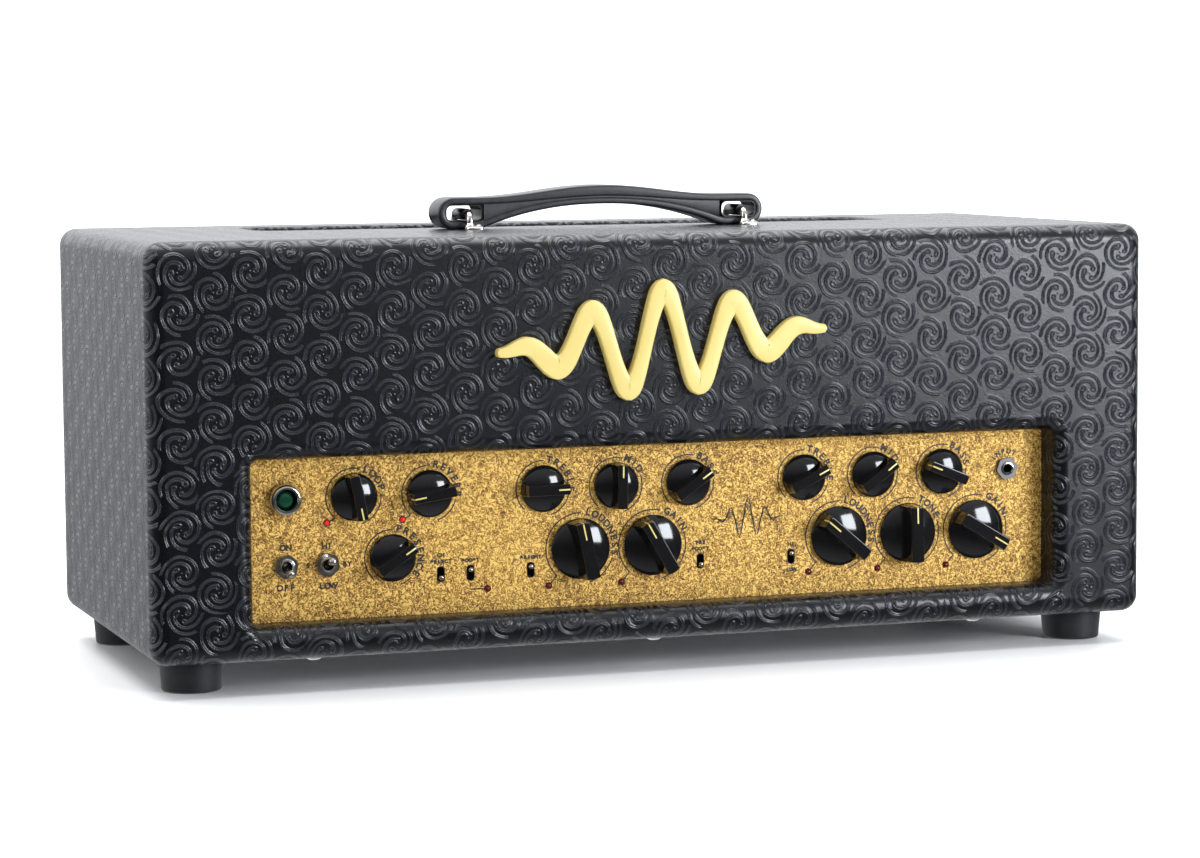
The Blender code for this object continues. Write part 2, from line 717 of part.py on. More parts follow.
def lamp_places():
    """(X, Z) of the small indicator lamps beside the knobs and one slot."""
    lit = ("knob_loop_level", "knob_reverb", "knob_loudness_one", "knob_gain_one")
    lit += ("knob_loudness_two", "knob_equaliser_two", "knob_gain_two")
    places = []
    for name, group, column, row, size, _ in KNOBS:
        if name in lit:
            offset = SMALL_LAMP_OFFSET if size is SMALL_KNOB else BIG_LAMP_OFFSET
            places.append((group + column * KNOB_PITCH + offset[0], row + offset[1]))
    boost_x = SLOT_SWITCHES[1][1]
    places.append((boost_x + BOOST_LAMP_OFFSET[0], SLOT_ROW + BOOST_LAMP_OFFSET[1]))
    return places


def panel_cutter():
    """Tools for the openings in the panel and the chassis front, with local +Z to the front."""
    bm = bmesh.new()
    reach = 8 * MM
    for x, z, radius in control_holes():
        segments = 6 if radius == LAMP_HOLE else 12
        lathe_into(bm, ((0, -reach), (radius, -reach), (radius, reach), (0, reach)), segments, (x, z))
    for _, x, _ in SLOT_SWITCHES:
        half = SLOT_HEIGHT / 2
        outline = rounded_outline(SLOT_WIDTH / 2, SLOT_ROW - half, SLOT_ROW + half, 2.4 * MM, 2)
        prism_into(bm, [(px + x, pz) for px, pz in outline], -reach, reach)
    tool = cutter("control_cutter", bm)
    tool.location = (0, PANEL_Y, 0)
    tool.rotation_euler = (FACE_OUT, 0, 0)
    return tool


def make_panel(tool, finish):
    low = CHASSIS_LOW
    high = BASE_Z + WINDOW_HIGH + PANEL_MARGIN
    bm = bmesh.new()
    back_y = PANEL_Y + PANEL_THICKNESS
    box_into(bm, (-PANEL_HALF_WIDTH, PANEL_Y, low), (PANEL_HALF_WIDTH, back_y, high))
    panel = add_object("control_panel", finish_mesh(bm, "control_panel", finish))
    boolean(panel, tool, "DIFFERENCE")


def sheet_ring(inset, z):
    """A ring round the chassis in plan."""
    middle = (CHASSIS_FRONT_Y + CHASSIS_BACK_Y) / 2
    half_depth = (CHASSIS_BACK_Y - CHASSIS_FRONT_Y) / 2 - inset
    low, high = middle - half_depth, middle + half_depth
    outline = rounded_outline(CHASSIS_HALF_WIDTH - inset, low, high, 1 * MM, 1)
    return [Vector((x, y, z)) for x, y in outline]


def make_chassis(tool, finish):
    """Open-bottomed steel tray with a lip round its bottom edge."""
    lip_top = CHASSIS_LOW + CHASSIS_WALL
    profile = (
        (0, CHASSIS_TOP),
        (0, CHASSIS_LOW),
        (CHASSIS_LIP, CHASSIS_LOW),
        (CHASSIS_LIP, lip_top),
        (CHASSIS_WALL, lip_top),
        (CHASSIS_WALL, CHASSIS_TOP - CHASSIS_WALL),
    )
    bm = bmesh.new()
    loft_into(bm, [sheet_ring(inset, z) for inset, z in profile])
    chassis = add_object("chassis", finish_mesh(bm, "chassis", finish))
    boolean(chassis, tool, "DIFFERENCE")
    bm = bmesh.new()
    reach = 8 * MM
    jack_hole = ((0, -reach), (REAR_JACK_HOLE, -reach), (REAR_JACK_HOLE, reach), (0, reach))
    for x in REAR_JACKS_X:
        lathe_into(bm, jack_hole, 12, (x, REAR_ROW))
    box_into(
        bm,
        (INLET_X - INLET_HALF_WIDTH, REAR_ROW - INLET_HALF_HEIGHT, -reach),
        (INLET_X + INLET_HALF_WIDTH, REAR_ROW + INLET_HALF_HEIGHT, reach),
    )
    rear = cutter("rear_cutter", bm)
    rear.location = (0, CHASSIS_BACK_Y, 0)
    rear.rotation_euler = (FACE_OUT, 0, 0)
    boolean(chassis, rear, "DIFFERENCE")
    return chassis


def make_bolts(pieces, finish):
    """Bolts with wide washers hold the chassis down through the cabinet's bottom."""
    washer = 1.5 * MM
    profile = (
        (0, -5 * MM),
        (4.5 * MM, -4.5 * MM),
        (5.5 * MM, -washer - GAP),
        (12 * MM, -washer - GAP),
        (12 * MM, -GAP),
        (BOLT_RADIUS, -GAP),
        (BOLT_RADIUS, WOOD_INNER + 5 * MM),
        (0, WOOD_INNER + 5 * MM),
    )
    mesh = lathe("chassis_bolt", profile, 12, finish)
    bm = bmesh.new()
    for name, x, y in BOLT_PLACES:
        add_object(name, mesh, (x, y, BASE_Z))
        low, high = BASE_Z - BOLT_HOLE, CHASSIS_LOW + 2 * CHASSIS_WALL
        lathe_into(bm, ((0, low), (BOLT_HOLE, low), (BOLT_HOLE, high), (0, high)), 12, (x, y))
    tool = cutter("bolt_cutter", bm)
    for piece in pieces:
        boolean(piece, tool, "DIFFERENCE")


def make_control_board(finish):
    """Circuit board with the pots, the small switches' housings and the indicator lamps."""
    behind = PANEL_Y - BOARD_Y
    mouth = -0.2 * MM
    bushing_low = -(PANEL_THICKNESS + CHASSIS_WALL + 2 * GAP)
    bore_end = -(SHAFT_DEPTH + GAP)

    def add_plate(bm):
        low_z, high_z = BASE_Z + 30 * MM, BASE_Z + 122 * MM
        step_x, step_z = STANDBY_X + 9 * MM, BASE_Z + 71 * MM
        outline = (
            (step_x, low_z),
            (BOARD_HIGH_X, low_z),
            (BOARD_HIGH_X, high_z),
            (BOARD_LOW_X, high_z),
            (BOARD_LOW_X, step_z),
            (step_x, step_z),
        )
        prism_into(bm, outline, behind - BOARD_THICKNESS, behind)

    def add_pots(bm):
        profile = (
            (0, bore_end),
            (POT_BORE, bore_end),
            (POT_BORE, mouth),
            (POT_BUSHING, mouth),
            (POT_BUSHING, bushing_low),
            (POT_RADIUS, bushing_low),
            (POT_RADIUS, behind - BOARD_THICKNESS / 2),
            (0, behind - BOARD_THICKNESS / 2),
        )
        for _, group, column, row, _, _ in KNOBS:
            lathe_into(bm, profile, 10, (group + column * KNOB_PITCH, row))

    def add_lamps(bm):
        lamp_low = behind - BOARD_THICKNESS / 2
        profile = ((0, lamp_low), (LAMP_RADIUS, lamp_low), (LAMP_RADIUS, 0))
        profile += ((0.8 * MM, 0.8 * MM), (0, 1 * MM))
        for x, z in lamp_places():
            lathe_into(bm, profile, 6, (x, z))

    def add_housings(bm):
        for _, x, _ in SLOT_SWITCHES:
            box_into(
                bm,
                (x - 4.5 * MM, SLOT_ROW - 7 * MM, behind - BOARD_THICKNESS / 2),
                (x + 4.5 * MM, SLOT_ROW + 7 * MM, -SLOT_LEVER_PIVOT - 2.2 * MM),
            )

    mesh = fused_mesh("control_board", (add_plate, add_pots, add_lamps, add_housings), finish)
    add_object("control_board", mesh, (0, PANEL_Y, 0), (FACE_OUT, 0, 0))


# ---------------------------------------------------------------- controls


def knob_mesh(name, size, finish):
    """Domed skirt, a bar grip across it, and the shaft behind."""
    radius, height, bar = size["radius"], size["height"], size["bar"]

    def add_skirt(bm):
        profile = (
            (0, KNOB_LIFT),
            (radius, KNOB_LIFT),
            (radius, KNOB_LIFT + 1.6 * MM),
            (radius * 0.8, KNOB_LIFT + 4.2 * MM),
            (0, KNOB_LIFT + 6 * MM),
        )
        lathe_into(bm, profile, 20)

    def add_bar(bm):
        foot, top = KNOB_LIFT + 0.8 * MM, height
        rings = []
        for z, half_width, reach in (
            (foot, bar * 0.56, radius * 0.985),
            (top - 0.6 * MM, bar * 0.43, radius * 0.93),
            (top, bar * 0.38, radius * 0.9),
        ):
            side = math.degrees(math.asin(half_width / reach))
            ends = arc((0, 0), reach, 90 - side, 90 + side, 2)
            ends += arc((0, 0), reach, 270 - side, 270 + side, 2)
            rings.append([Vector((x, y, z)) for x, y in ends])
        loft_into(bm, rings)

    def add_shaft(bm):
        end = 3 * MM
        profile = ((0, -SHAFT_DEPTH), (SHAFT_RADIUS, -SHAFT_DEPTH), (SHAFT_RADIUS, end), (0, end))
        lathe_into(bm, profile, 10)

    return fused_mesh(name, (add_skirt, add_bar, add_shaft), finish)


def make_knobs(finish):
    small = knob_mesh("small_knob", SMALL_KNOB, finish)
    big = knob_mesh("big_knob", BIG_KNOB, finish)
    for name, group, column, row, size, angle in KNOBS:
        mesh = small if size is SMALL_KNOB else big
        place = (group + column * KNOB_PITCH, PANEL_Y, row)
        add_object(name, mesh, place, (FACE_OUT, math.radians(angle), 0))


def make_slot_levers(finish):
    """Short levers with a ball end, seen through the panel's slots."""
    length, radius, tip = SLOT_LEVER_LENGTH, SLOT_LEVER_RADIUS, SLOT_LEVER_TIP
    profile = [(0, -1.5 * MM), (radius, -1 * MM), (radius, length - tip)]
    profile += [(x, z + length) for x, z in arc((0, 0), tip, -40, 60, 3)] + [(0, length + tip)]
    mesh = lathe("slot_lever", profile, 8, finish)
    for name, x, side in SLOT_SWITCHES:
        tilt = FACE_OUT - side * math.radians(SLOT_LEVER_TILT)
        add_object(name, mesh, (x, PANEL_Y + SLOT_LEVER_PIVOT, SLOT_ROW), (tilt, 0, 0))


def make_toggles(body_finish, lever_finish):
    """Panel toggle switches: a body with its bushing and nut, and a bat lever."""
    bore = 3.6 * MM

    behind_chassis = -(PANEL_THICKNESS + CHASSIS_WALL + 2 * GAP)

    def add_body(bm):
        box_into(bm, (-6.5 * MM, -8 * MM, -26 * MM), (6.5 * MM, 8 * MM, behind_chassis))

    def add_bushing(bm):
        profile = (
            (0, -3.4 * MM),
            (bore, -3.4 * MM),
            (bore, 4 * MM),
            (4.6 * MM, 4 * MM),
            (5.6 * MM, 3.2 * MM),
            (5.6 * MM, -8 * MM),
            (0, -8 * MM),
        )
        lathe_into(bm, profile, 18)

    def add_nut(bm):
        hexagon = 8.2 * MM
        profile = (
            (5 * MM, GAP),
            (hexagon, GAP),
            (hexagon, 2.2 * MM),
            (hexagon - 0.8 * MM, 2.7 * MM),
            (5 * MM, 2.7 * MM),
        )
        loft_into(bm, [circle(radius, z, 6) for radius, z in profile], joined=True)

    mesh = fused_mesh("toggle_body", (add_body, add_bushing, add_nut), body_finish)
    length = TOGGLE_LEVER_LENGTH
    profile = (
        (0, -2.4 * MM),
        (1.6 * MM, -2 * MM),
        (2.4 * MM, 0),
        (1.6 * MM, 1.8 * MM),
        (2.1 * MM, length - 4 * MM),
        (2.7 * MM, length - 2.4 * MM),
        (2.3 * MM, length - 0.6 * MM),
        (0, length),
    )
    lever = lathe("toggle_lever", profile, 14, lever_finish)
    for name, x, side in (("power", POWER_X, -1), ("standby", STANDBY_X, 1)):
        add_object(f"{name}_switch", mesh, (x, PANEL_Y, TOGGLE_ROW), (FACE_OUT, 0, 0))
        tilt = FACE_OUT - side * math.radians(TOGGLE_TILT)
        add_object(f"{name}_lever", lever, (x, PANEL_Y + TOGGLE_PIVOT, TOGGLE_ROW), (tilt, 0, 0))


def make_pilot(bezel_finish, jewel_finish):
    bezel = (
        (6.9 * MM, -20 * MM),
        (7.9 * MM, -20 * MM),
        (7.9 * MM, GAP),
        (11 * MM, GAP),
        (11 * MM, 2 * MM),
        (10 * MM, 5 * MM),
        (8.6 * MM, 6.6 * MM),
        (7.6 * MM, 6.2 * MM),
        (6.9 * MM, 4 * MM),
    )
    bm = bmesh.new()
    loft_into(bm, [circle(radius, z, 20) for radius, z in bezel], joined=True)
    place = (PILOT_X, PANEL_Y, UPPER_ROW)
    add_object("pilot_bezel", finish_mesh(bm, "pilot_bezel", bezel_finish), place, (FACE_OUT, 0, 0))
    jewel = [(0, -19 * MM), (6.5 * MM, -19 * MM), (6.5 * MM, 2.6 * MM)]
    jewel += [(5 * MM, 5.2 * MM), (2.6 * MM, 6.6 * MM), (0, 6.8 * MM)]
    add_object("pilot_jewel", lathe("pilot_jewel", jewel, 16, jewel_finish), place, (FACE_OUT, 0, 0))


def make_input_jack(finish):
    def add_barrel(bm):
        profile = ((0, -22 * MM), (4.8 * MM, -22 * MM), (4.8 * MM, 3.4 * MM), (3.3 * MM, 3.4 * MM))
        profile += ((3.3 * MM, -20 * MM), (0, -20 * MM))
        lathe_into(bm, profile, 18)

    def add_nut(bm):
        bore, corner, top = 4 * MM, 7.4 * MM, 2.5 * MM
        profile = ((bore, GAP), (corner, GAP), (corner, 2 * MM), (6.8 * MM, top), (bore, top))
        loft_into(bm, [circle(radius, z, 6) for radius, z in profile], joined=True)

    def add_body(bm):
        rim = -(PANEL_THICKNESS + CHASSIS_WALL + 2 * GAP)
        profile = ((4.2 * MM, -24 * MM), (8 * MM, -24 * MM), (8 * MM, rim), (4.2 * MM, rim))
        loft_into(bm, [circle(radius, z, 14) for radius, z in profile], joined=True)

    mesh = fused_mesh("input_jack", (add_barrel, add_nut, add_body), finish)
    add_object("input_jack", mesh, (JACK_X, PANEL_Y, UPPER_ROW), (FACE_OUT, 0, 0))


# ---------------------------------------------------------------- inside and back


def make_rear_sockets(inlet_finish, jack_finish):
    """Mains inlet and a board of output jacks in the chassis back."""

    def add_inlet_shell(bm):
        half_x, half_z = INLET_HALF_WIDTH - GAP, INLET_HALF_HEIGHT - GAP
        box_into(bm, (-half_x, -half_z, -2 * MM), (half_x, half_z, 24 * MM))

    def add_inlet_flange(bm):
        half_x, half_z = INLET_HALF_WIDTH + 8 * MM, INLET_HALF_HEIGHT + 4 * MM
        box_into(bm, (-half_x, -half_z, -2.5 * MM), (half_x, half_z, -GAP))

    mesh = fused_mesh("mains_inlet", (add_inlet_shell, add_inlet_flange), inlet_finish)
    add_object("mains_inlet", mesh, (INLET_X, CHASSIS_BACK_Y, REAR_ROW), (FACE_OUT, 0, 0))

    board_depth = 20 * MM

    def add_board(bm):
        low, high = REAR_JACKS_X[0] - 14 * MM, REAR_JACKS_X[-1] + 14 * MM
        box_into(bm, (low, -16 * MM, board_depth), (high, 16 * MM, board_depth + BOARD_THICKNESS))

    def add_jacks(bm):
        profile = (
            (0, board_depth + BOARD_THICKNESS / 2),
            (7.4 * MM, board_depth + BOARD_THICKNESS / 2),
            (7.4 * MM, CHASSIS_WALL + GAP),
            (5.8 * MM, CHASSIS_WALL + GAP),
            (5.8 * MM, -3 * MM),
            (3.3 * MM, -3 * MM),
            (3.3 * MM, 15 * MM),
            (0, 15 * MM),
        )
        for x in REAR_JACKS_X:
            lathe_into(bm, profile, 10, (x, 0))

    mesh = fused_mesh("output_jack_board", (add_board, add_jacks), jack_finish)
    add_object("output_jack_board", mesh, (0, CHASSIS_BACK_Y, REAR_ROW), (FACE_OUT, 0, 0))


def make_valves(power_finish, preamp_finish):
    floor = CHASSIS_TOP + GAP
    power = [(0, 0), (17 * MM, 0), (17 * MM, 17 * MM), (15.5 * MM, 18 * MM), (16.5 * MM, 22 * MM)]
    power += [(16.5 * MM, 78 * MM), (13 * MM, 90 * MM), (6 * MM, 97 * MM), (0, 99 * MM)]
    mesh = lathe("power_valve", power, 14, power_finish)
    for name, x, y in POWER_VALVES:
        add_object(name, mesh, (x, y, floor))
    preamp = [(0, 0), (11 * MM, 0), (11 * MM, 44 * MM), (9 * MM, 48 * MM), (3 * MM, 52 * MM), (0, 54 * MM)]
    mesh = lathe("preamp_valve", preamp, 12, preamp_finish)
    for name, x, y in PREAMP_VALVES:
        add_object(name, mesh, (x, y, floor))


def make_transformer(name, place, core, bell_depth, finish):
    """A laminated core between two bell covers."""
    width, depth, height = core

    def add_core(bm):
        box_into(bm, (-width / 2, -depth / 2, 0), (width / 2, depth / 2, height))

    def add_bells(bm):
        margin = 9 * MM
        reach = depth / 2 + bell_depth
        rings = []
        flank = 4 * MM
        sections = ((-reach, margin), (margin - reach, flank), (reach - margin, flank), (reach, margin))
        for y, inset in sections:
            outline = rounded_outline(width / 2 - inset, inset, height - inset, 6 * MM, 2)
            rings.append([Vector((x, y, z)) for x, z in outline])
        loft_into(bm, rings)

    mesh = fused_mesh(name, (add_core, add_bells), finish)
    add_object(name, mesh, place)


def make_inside(finish):
    floor = CHASSIS_TOP + GAP
    for name, x, core, bell in TRANSFORMERS:
        make_transformer(name, (x, TRANSFORMER_Y, floor), core, bell, finish)
    width, depth, height = REVERB_TANK_SIZE
    front_y, low = PANEL_Y + GAP, CHASSIS_TOP + REVERB_TANK_LIFT
    bm = bmesh.new()
    box_into(bm, (-width / 2, front_y, low), (width / 2, front_y + depth, low + height))
    add_object("reverb_tank", finish_mesh(bm, "reverb_tank", finish))


def main():
    clear_scene()
    black_vinyl = material("black_vinyl", (0.022, 0.023, 0.028), 0.5)
    wood = material("birch_plywood", (0.55, 0.4, 0.24), 0.7)
    gold = material("gold_hammered_paint", (0.58, 0.4, 0.12), 0.45, 0.3)
    steel = material("zinc_steel", (0.6, 0.6, 0.6), 0.35, 1.0)
    nickel = material("nickel", (0.72, 0.7, 0.66), 0.2, 1.0)
    black_metal = material("black_metal", (0.03, 0.03, 0.03), 0.45, 0.4)
    black_gloss = material("black_gloss_plastic", (0.012, 0.012, 0.013), 0.12)
    rubber = material("black_rubber", (0.02, 0.02, 0.02), 0.65)
    strap = material("black_strap", (0.025, 0.025, 0.027), 0.4)
    cream = material("cream_plastic", (0.84, 0.76, 0.45), 0.35)
    green = material("green_jewel", (0.01, 0.12, 0.06), 0.08)
    board = material("circuit_board", (0.05, 0.17, 0.1), 0.5)
    glass = material("valve_glass", (0.5, 0.5, 0.48), 0.1)

    cover = make_cover(black_vinyl)
    carcass = make_carcass(wood)
    make_front_board(wood)
    cut_vent((cover, carcass))
    make_top_grille(black_metal)
    make_back_panel(black_vinyl)
    make_back_grille(black_metal)
    make_feet(rubber)
    make_badge(cream)
    make_handle(strap)
    make_brackets(nickel)

    controls = panel_cutter()
    make_panel(controls, gold)
    chassis = make_chassis(controls, steel)
    make_bolts((cover, carcass, chassis), nickel)
    make_control_board(board)
    make_knobs(black_gloss)
    make_slot_levers(nickel)
    make_toggles(steel, nickel)
    make_pilot(nickel, green)
    make_input_jack(nickel)
    make_rear_sockets(black_gloss, steel)
    make_valves(glass, glass)
    make_inside(black_metal)


main()
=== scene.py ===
"""Looks of the guitar amplifier head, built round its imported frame."""

import json
import math

import bmesh
import bpy
from mathutils import Matrix, Vector


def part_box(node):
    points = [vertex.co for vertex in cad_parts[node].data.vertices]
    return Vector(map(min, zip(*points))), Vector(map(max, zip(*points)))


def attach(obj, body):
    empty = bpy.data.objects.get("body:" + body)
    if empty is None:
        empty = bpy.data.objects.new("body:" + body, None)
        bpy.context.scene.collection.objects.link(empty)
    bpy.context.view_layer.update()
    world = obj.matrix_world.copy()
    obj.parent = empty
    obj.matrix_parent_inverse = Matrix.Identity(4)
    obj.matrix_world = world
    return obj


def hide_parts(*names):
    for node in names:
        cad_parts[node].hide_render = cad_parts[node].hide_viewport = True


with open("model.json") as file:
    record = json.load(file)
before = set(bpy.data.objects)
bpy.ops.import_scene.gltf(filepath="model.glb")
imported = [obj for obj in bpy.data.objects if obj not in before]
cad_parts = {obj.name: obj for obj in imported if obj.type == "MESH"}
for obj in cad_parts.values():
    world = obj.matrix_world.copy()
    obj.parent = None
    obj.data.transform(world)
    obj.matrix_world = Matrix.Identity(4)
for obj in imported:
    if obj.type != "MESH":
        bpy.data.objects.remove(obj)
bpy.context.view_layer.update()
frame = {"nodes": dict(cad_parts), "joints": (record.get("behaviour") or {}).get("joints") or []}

MM = 0.001
NODES = frame["nodes"]
JOINTS = {joint["child"]: joint for joint in frame["joints"]}

# ---------------------------------------------------------------- sizes read from the frame

COVER_LOW, COVER_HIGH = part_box("cabinet_cover")
PANEL_LOW, PANEL_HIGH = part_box("control_panel")
FRONT_Y = COVER_LOW.y
BACK_Y = COVER_HIGH.y
BASE_Z = COVER_LOW.z
TOP_Z = COVER_HIGH.z
HALF_WIDTH = COVER_HIGH.x
PANEL_Y = PANEL_LOW.y

EDGE_RADIUS = 12 * MM
LIP_RADIUS = 10 * MM
WINDOW_HALF_WIDTH = 287.5 * MM
WINDOW_LOW = BASE_Z + 23 * MM
WINDOW_HIGH = BASE_Z + 132 * MM
WINDOW_CORNER = 5 * MM
LINING_INSET = 20.6 * MM
LINING_DEPTH = 11.5 * MM
RIM_RADIUS = 3 * MM
VENT_HALF_WIDTH = 238 * MM
VENT_LOW_Y = FRONT_Y + 176 * MM
VENT_HIGH_Y = VENT_LOW_Y + 80 * MM
VENT_CORNER = 16 * MM
VENT_LIP = 1.9 * MM  # how far the lip of the vent reaches over the top
VENT_SKIN = 1 * MM

RING_STEPS = 10
ARC_STEPS = 8

FACE_OUT = Matrix.Rotation(math.radians(90), 4, "X")  # local +Z to the front
FACE_BACK = Matrix.Rotation(math.radians(180), 4, "Z") @ FACE_OUT

CURL_COLUMN = 24 * MM  # distance between columns of curls in the covering
CURL_PITCH = 27.7 * MM  # distance between curls in one column


# ---------------------------------------------------------------- shader helpers


class Value:
    """A number inside a node tree, so that a pattern can be written as a formula."""

    def __init__(self, tree, source):
        self.tree = tree
        self.source = source

    def apply(self, operation, *others):
        node = self.tree.nodes.new("ShaderNodeMath")
        node.operation = operation
        for socket, value in zip(node.inputs, (self,) + others):
            if isinstance(value, Value):
                self.tree.links.new(value.source, socket)
            else:
                socket.default_value = value
        return Value(self.tree, node.outputs[0])

    def __add__(self, other):
        return self.apply("ADD", other)

    def __sub__(self, other):
        return self.apply("SUBTRACT", other)

    def __mul__(self, other):
        return self.apply("MULTIPLY", other)

    def __truediv__(self, other):
        return self.apply("DIVIDE", other)

    def clamped(self):
        return self.apply("MINIMUM", 1.0).apply("MAXIMUM", 0.0)

    def ridge(self, centre, width):
        """1 where the value is at centre, falling smoothly to 0 over width."""
        away = ((self - centre) / width).apply("POWER", 2.0)
        return (away * -1.0).apply("EXPONENT")


class Finish:
    """A procedural material under construction, with the record's material slot, which is kept but not given
    to its pieces.
    """

    def __init__(self, name, colour, roughness, metallic=0.0, slot=None):
        self.slot = slot
        self.material = bpy.data.materials.new(name)
        self.material.use_nodes = True
        self.tree = self.material.node_tree
        self.shader = self.tree.nodes["Principled BSDF"]
        self.coordinates = self.tree.nodes.new("ShaderNodeTexCoord")
        self.set("Base Color", (*colour, 1.0))
        self.set("Roughness", roughness)
        self.set("Metallic", metallic)

    def set(self, socket, value):
        target = self.shader.inputs[socket]
        if isinstance(value, Value):
            self.tree.links.new(value.source, target)
        else:
            target.default_value = value

    def texture(self, kind, where, **inputs):
        """A texture node on a set of coordinates."""
        node = self.tree.nodes.new(kind)
        for name, value in inputs.items():
            node.inputs[name].default_value = value
        self.tree.links.new(self.coordinates.outputs[where], node.inputs["Vector"])
        return node

    def noise(self, scale, detail=3.0, rough=0.5, distortion=0.0, where="Object"):
        inputs = {"Scale": scale, "Detail": detail, "Roughness": rough, "Distortion": distortion}
        return Value(self.tree, self.texture("ShaderNodeTexNoise", where, **inputs).outputs[0])

    def cells(self, scale, feature="F1", where="Object", **inputs):
        node = self.texture("ShaderNodeTexVoronoi", where, Scale=scale)
        node.feature = feature
        for name, value in inputs.items():
            node.inputs[name].default_value = value
        return Value(self.tree, node.outputs["Distance"])

    def axis(self, index, where="Object"):
        node = self.tree.nodes.new("ShaderNodeSeparateXYZ")
        self.tree.links.new(self.coordinates.outputs[where], node.inputs[0])
        return Value(self.tree, node.outputs[index])

    def colours(self, value, *stops):
        """Colours the surface by a value: each stop is (position, colour)."""
        node = self.tree.nodes.new("ShaderNodeValToRGB")
        elements = node.color_ramp.elements
        while len(elements) < len(stops):
            elements.new(0.5)
        for element, (position, colour) in zip(elements, stops):
            element.position = position
            element.color = (*colour, 1.0)
        self.tree.links.new(value.source, node.inputs[0])
        self.tree.links.new(node.outputs[0], self.shader.inputs["Base Color"])

    def bump(self, height, distance, strength=1.0):
        node = self.tree.nodes.new("ShaderNodeBump")
        node.inputs["Strength"].default_value = strength
        node.inputs["Distance"].default_value = distance
        self.tree.links.new(height.source, node.inputs["Height"])
        previous = self.shader.inputs["Normal"].links
        if previous:
            self.tree.links.new(previous[0].from_socket, node.inputs["Normal"])
        self.tree.links.new(node.outputs[0], self.shader.inputs["Normal"])


# ---------------------------------------------------------------- materials


def curls(finish):
    """Height of the covering's embossed curls, in UV metres: rosettes of three commas on a staggered lattice.

    A comma has a ring for a head, and a tail that winds outwards between two spiral lines. Lengths inside one
    rosette are in millimetres.
    """
    wobble = finish.noise(60, 1, 0.5, 0, "UV") - 0.5
    u = finish.axis(0, "UV") + wobble * (2.4 * MM)
    v = finish.axis(1, "UV") - wobble * (1.8 * MM)
    half = CURL_PITCH / 2
    near_x = u.apply("WRAP", CURL_COLUMN, -CURL_COLUMN)
    near_y = v.apply("WRAP", half, -half)
    far_x = (u - CURL_COLUMN).apply("WRAP", CURL_COLUMN, -CURL_COLUMN)
    far_y = (v - half).apply("WRAP", half, -half)
    near_is_closer = (near_x * near_x + near_y * near_y).apply("LESS_THAN", far_x * far_x + far_y * far_y)
    x = (far_x + (near_x - far_x) * near_is_closer) / MM
    y = (far_y + (near_y - far_y) * near_is_closer) / MM
    radius = (x * x + y * y).apply("SQRT")
    third = math.radians(120)
    angle = y.apply("ARCTAN2", x) + finish.noise(11, 1, 0.5, 0, "UV") * 14.0
    share = angle.apply("WRAP", third, 0.0) / third
    lines = radius.ridge(0.0, 0.6) * 0.5
    for turns in (0, 1):
        turn = share + turns
        for start, growth, power in ((5.0, 4.45, 1.0), (2.9, 5.4, 0.88)):
            away = radius - turn.apply("POWER", power) * growth - start
            lines = lines.apply("MAXIMUM", away.ridge(0.0, 0.5))
    folded = angle.apply("WRAP", third / 2, -third / 2)
    head_x = radius * folded.apply("COSINE") - 4.0
    head_y = radius * folded.apply("SINE")
    head = (head_x * head_x + head_y * head_y).apply("SQRT")
    lines = lines.apply("MAXIMUM", (head - 1.5).ridge(0.0, 0.45) * 0.8)
    broad = finish.noise(170, 2, 0.6, 0.5, "UV")
    return lines * (broad * 0.9 + 0.5)


def covering():
    made = Finish("embossed_vinyl", (0.01, 0.011, 0.015), 0.45, slot="embossed_vinyl")
    height = curls(made)
    grain = made.cells(950, "SMOOTH_F1", "UV", Smoothness=0.4)
    creases = made.noise(520, 4, 0.65, 0.5, "UV")
    broad = made.noise(9, 2, 0.5, 0)
    # Base colour lighter on the raised curl lines: painted sheen on the ridges, mixed with random tone from
    # the creases noise.
    dark, mid, light = (0.001, 0.0012, 0.0022), (0.004, 0.005, 0.0075), (0.017, 0.02, 0.028)
    made.colours(height * 0.75 + creases * 0.25, (0.12, dark), (0.4, mid), (0.85, light))
    made.set("Roughness", (creases * 0.12 + broad * 0.06 + 0.2) - height * 0.05)
    made.set("Specular IOR Level", 0.5)
    made.bump(grain * 0.8 + creases * 0.9, 0.065 * MM, 0.9)
    made.bump(height, 0.42 * MM, 1.0)
    return made


def gold_paint():
    """Hammered paint: pale gold islands between wandering brown veins."""
    made = Finish("gold_hammered_paint", (0.6, 0.42, 0.13), 0.4, 0.2)
    made.set("Specular IOR Level", 0.35)
    wander = made.noise(350, 2.5, 0.55, 1.1)
    veins = (wander - 0.5).apply("ABSOLUTE") * 8.0
    speckle = made.noise(900, 3, 0.7)
    broad = made.noise(14, 2, 0.5)
    mix = veins.clamped() * 0.7 + speckle * 0.3 + broad * 0.2 - 0.17
    dark, mid, light = (0.075, 0.03, 0.006), (0.42, 0.225, 0.036), (0.76, 0.49, 0.125)
    made.colours(mix, (0.12, dark), (0.34, mid), (0.72, light))
    made.set("Roughness", speckle * 0.3 + 0.3)
    made.bump(veins.clamped() + speckle * 0.2, 0.25 * MM, 0.6)
    return made


def gloss_black(name, slot, rough):
    made = Finish(name, (0.006, 0.006, 0.0065), rough, slot=slot)
    scuffs = made.noise(700, 4, 0.7)
    dust = made.noise(120, 2)
    made.set("Roughness", scuffs.apply("POWER", 3.0) * 0.25 + dust * 0.04 + rough - 0.04)
    made.set("Specular IOR Level", 0.55)
    made.bump(dust, 0.02 * MM, 0.3)
    return made


def nickel(name, colour, rough):
    made = Finish(name, colour, rough, 1.0, "nickel")
    scratches = made.noise(1500, 4, 0.7)
    stains = made.noise(160, 3)
    made.set("Roughness", scratches * 0.12 + stains * 0.08 + rough - 0.06)
    made.colours(stains, (0.3, tuple(c * 0.8 for c in colour)), (0.7, colour))
    made.bump(scratches, 0.02 * MM, 0.4)
    return made


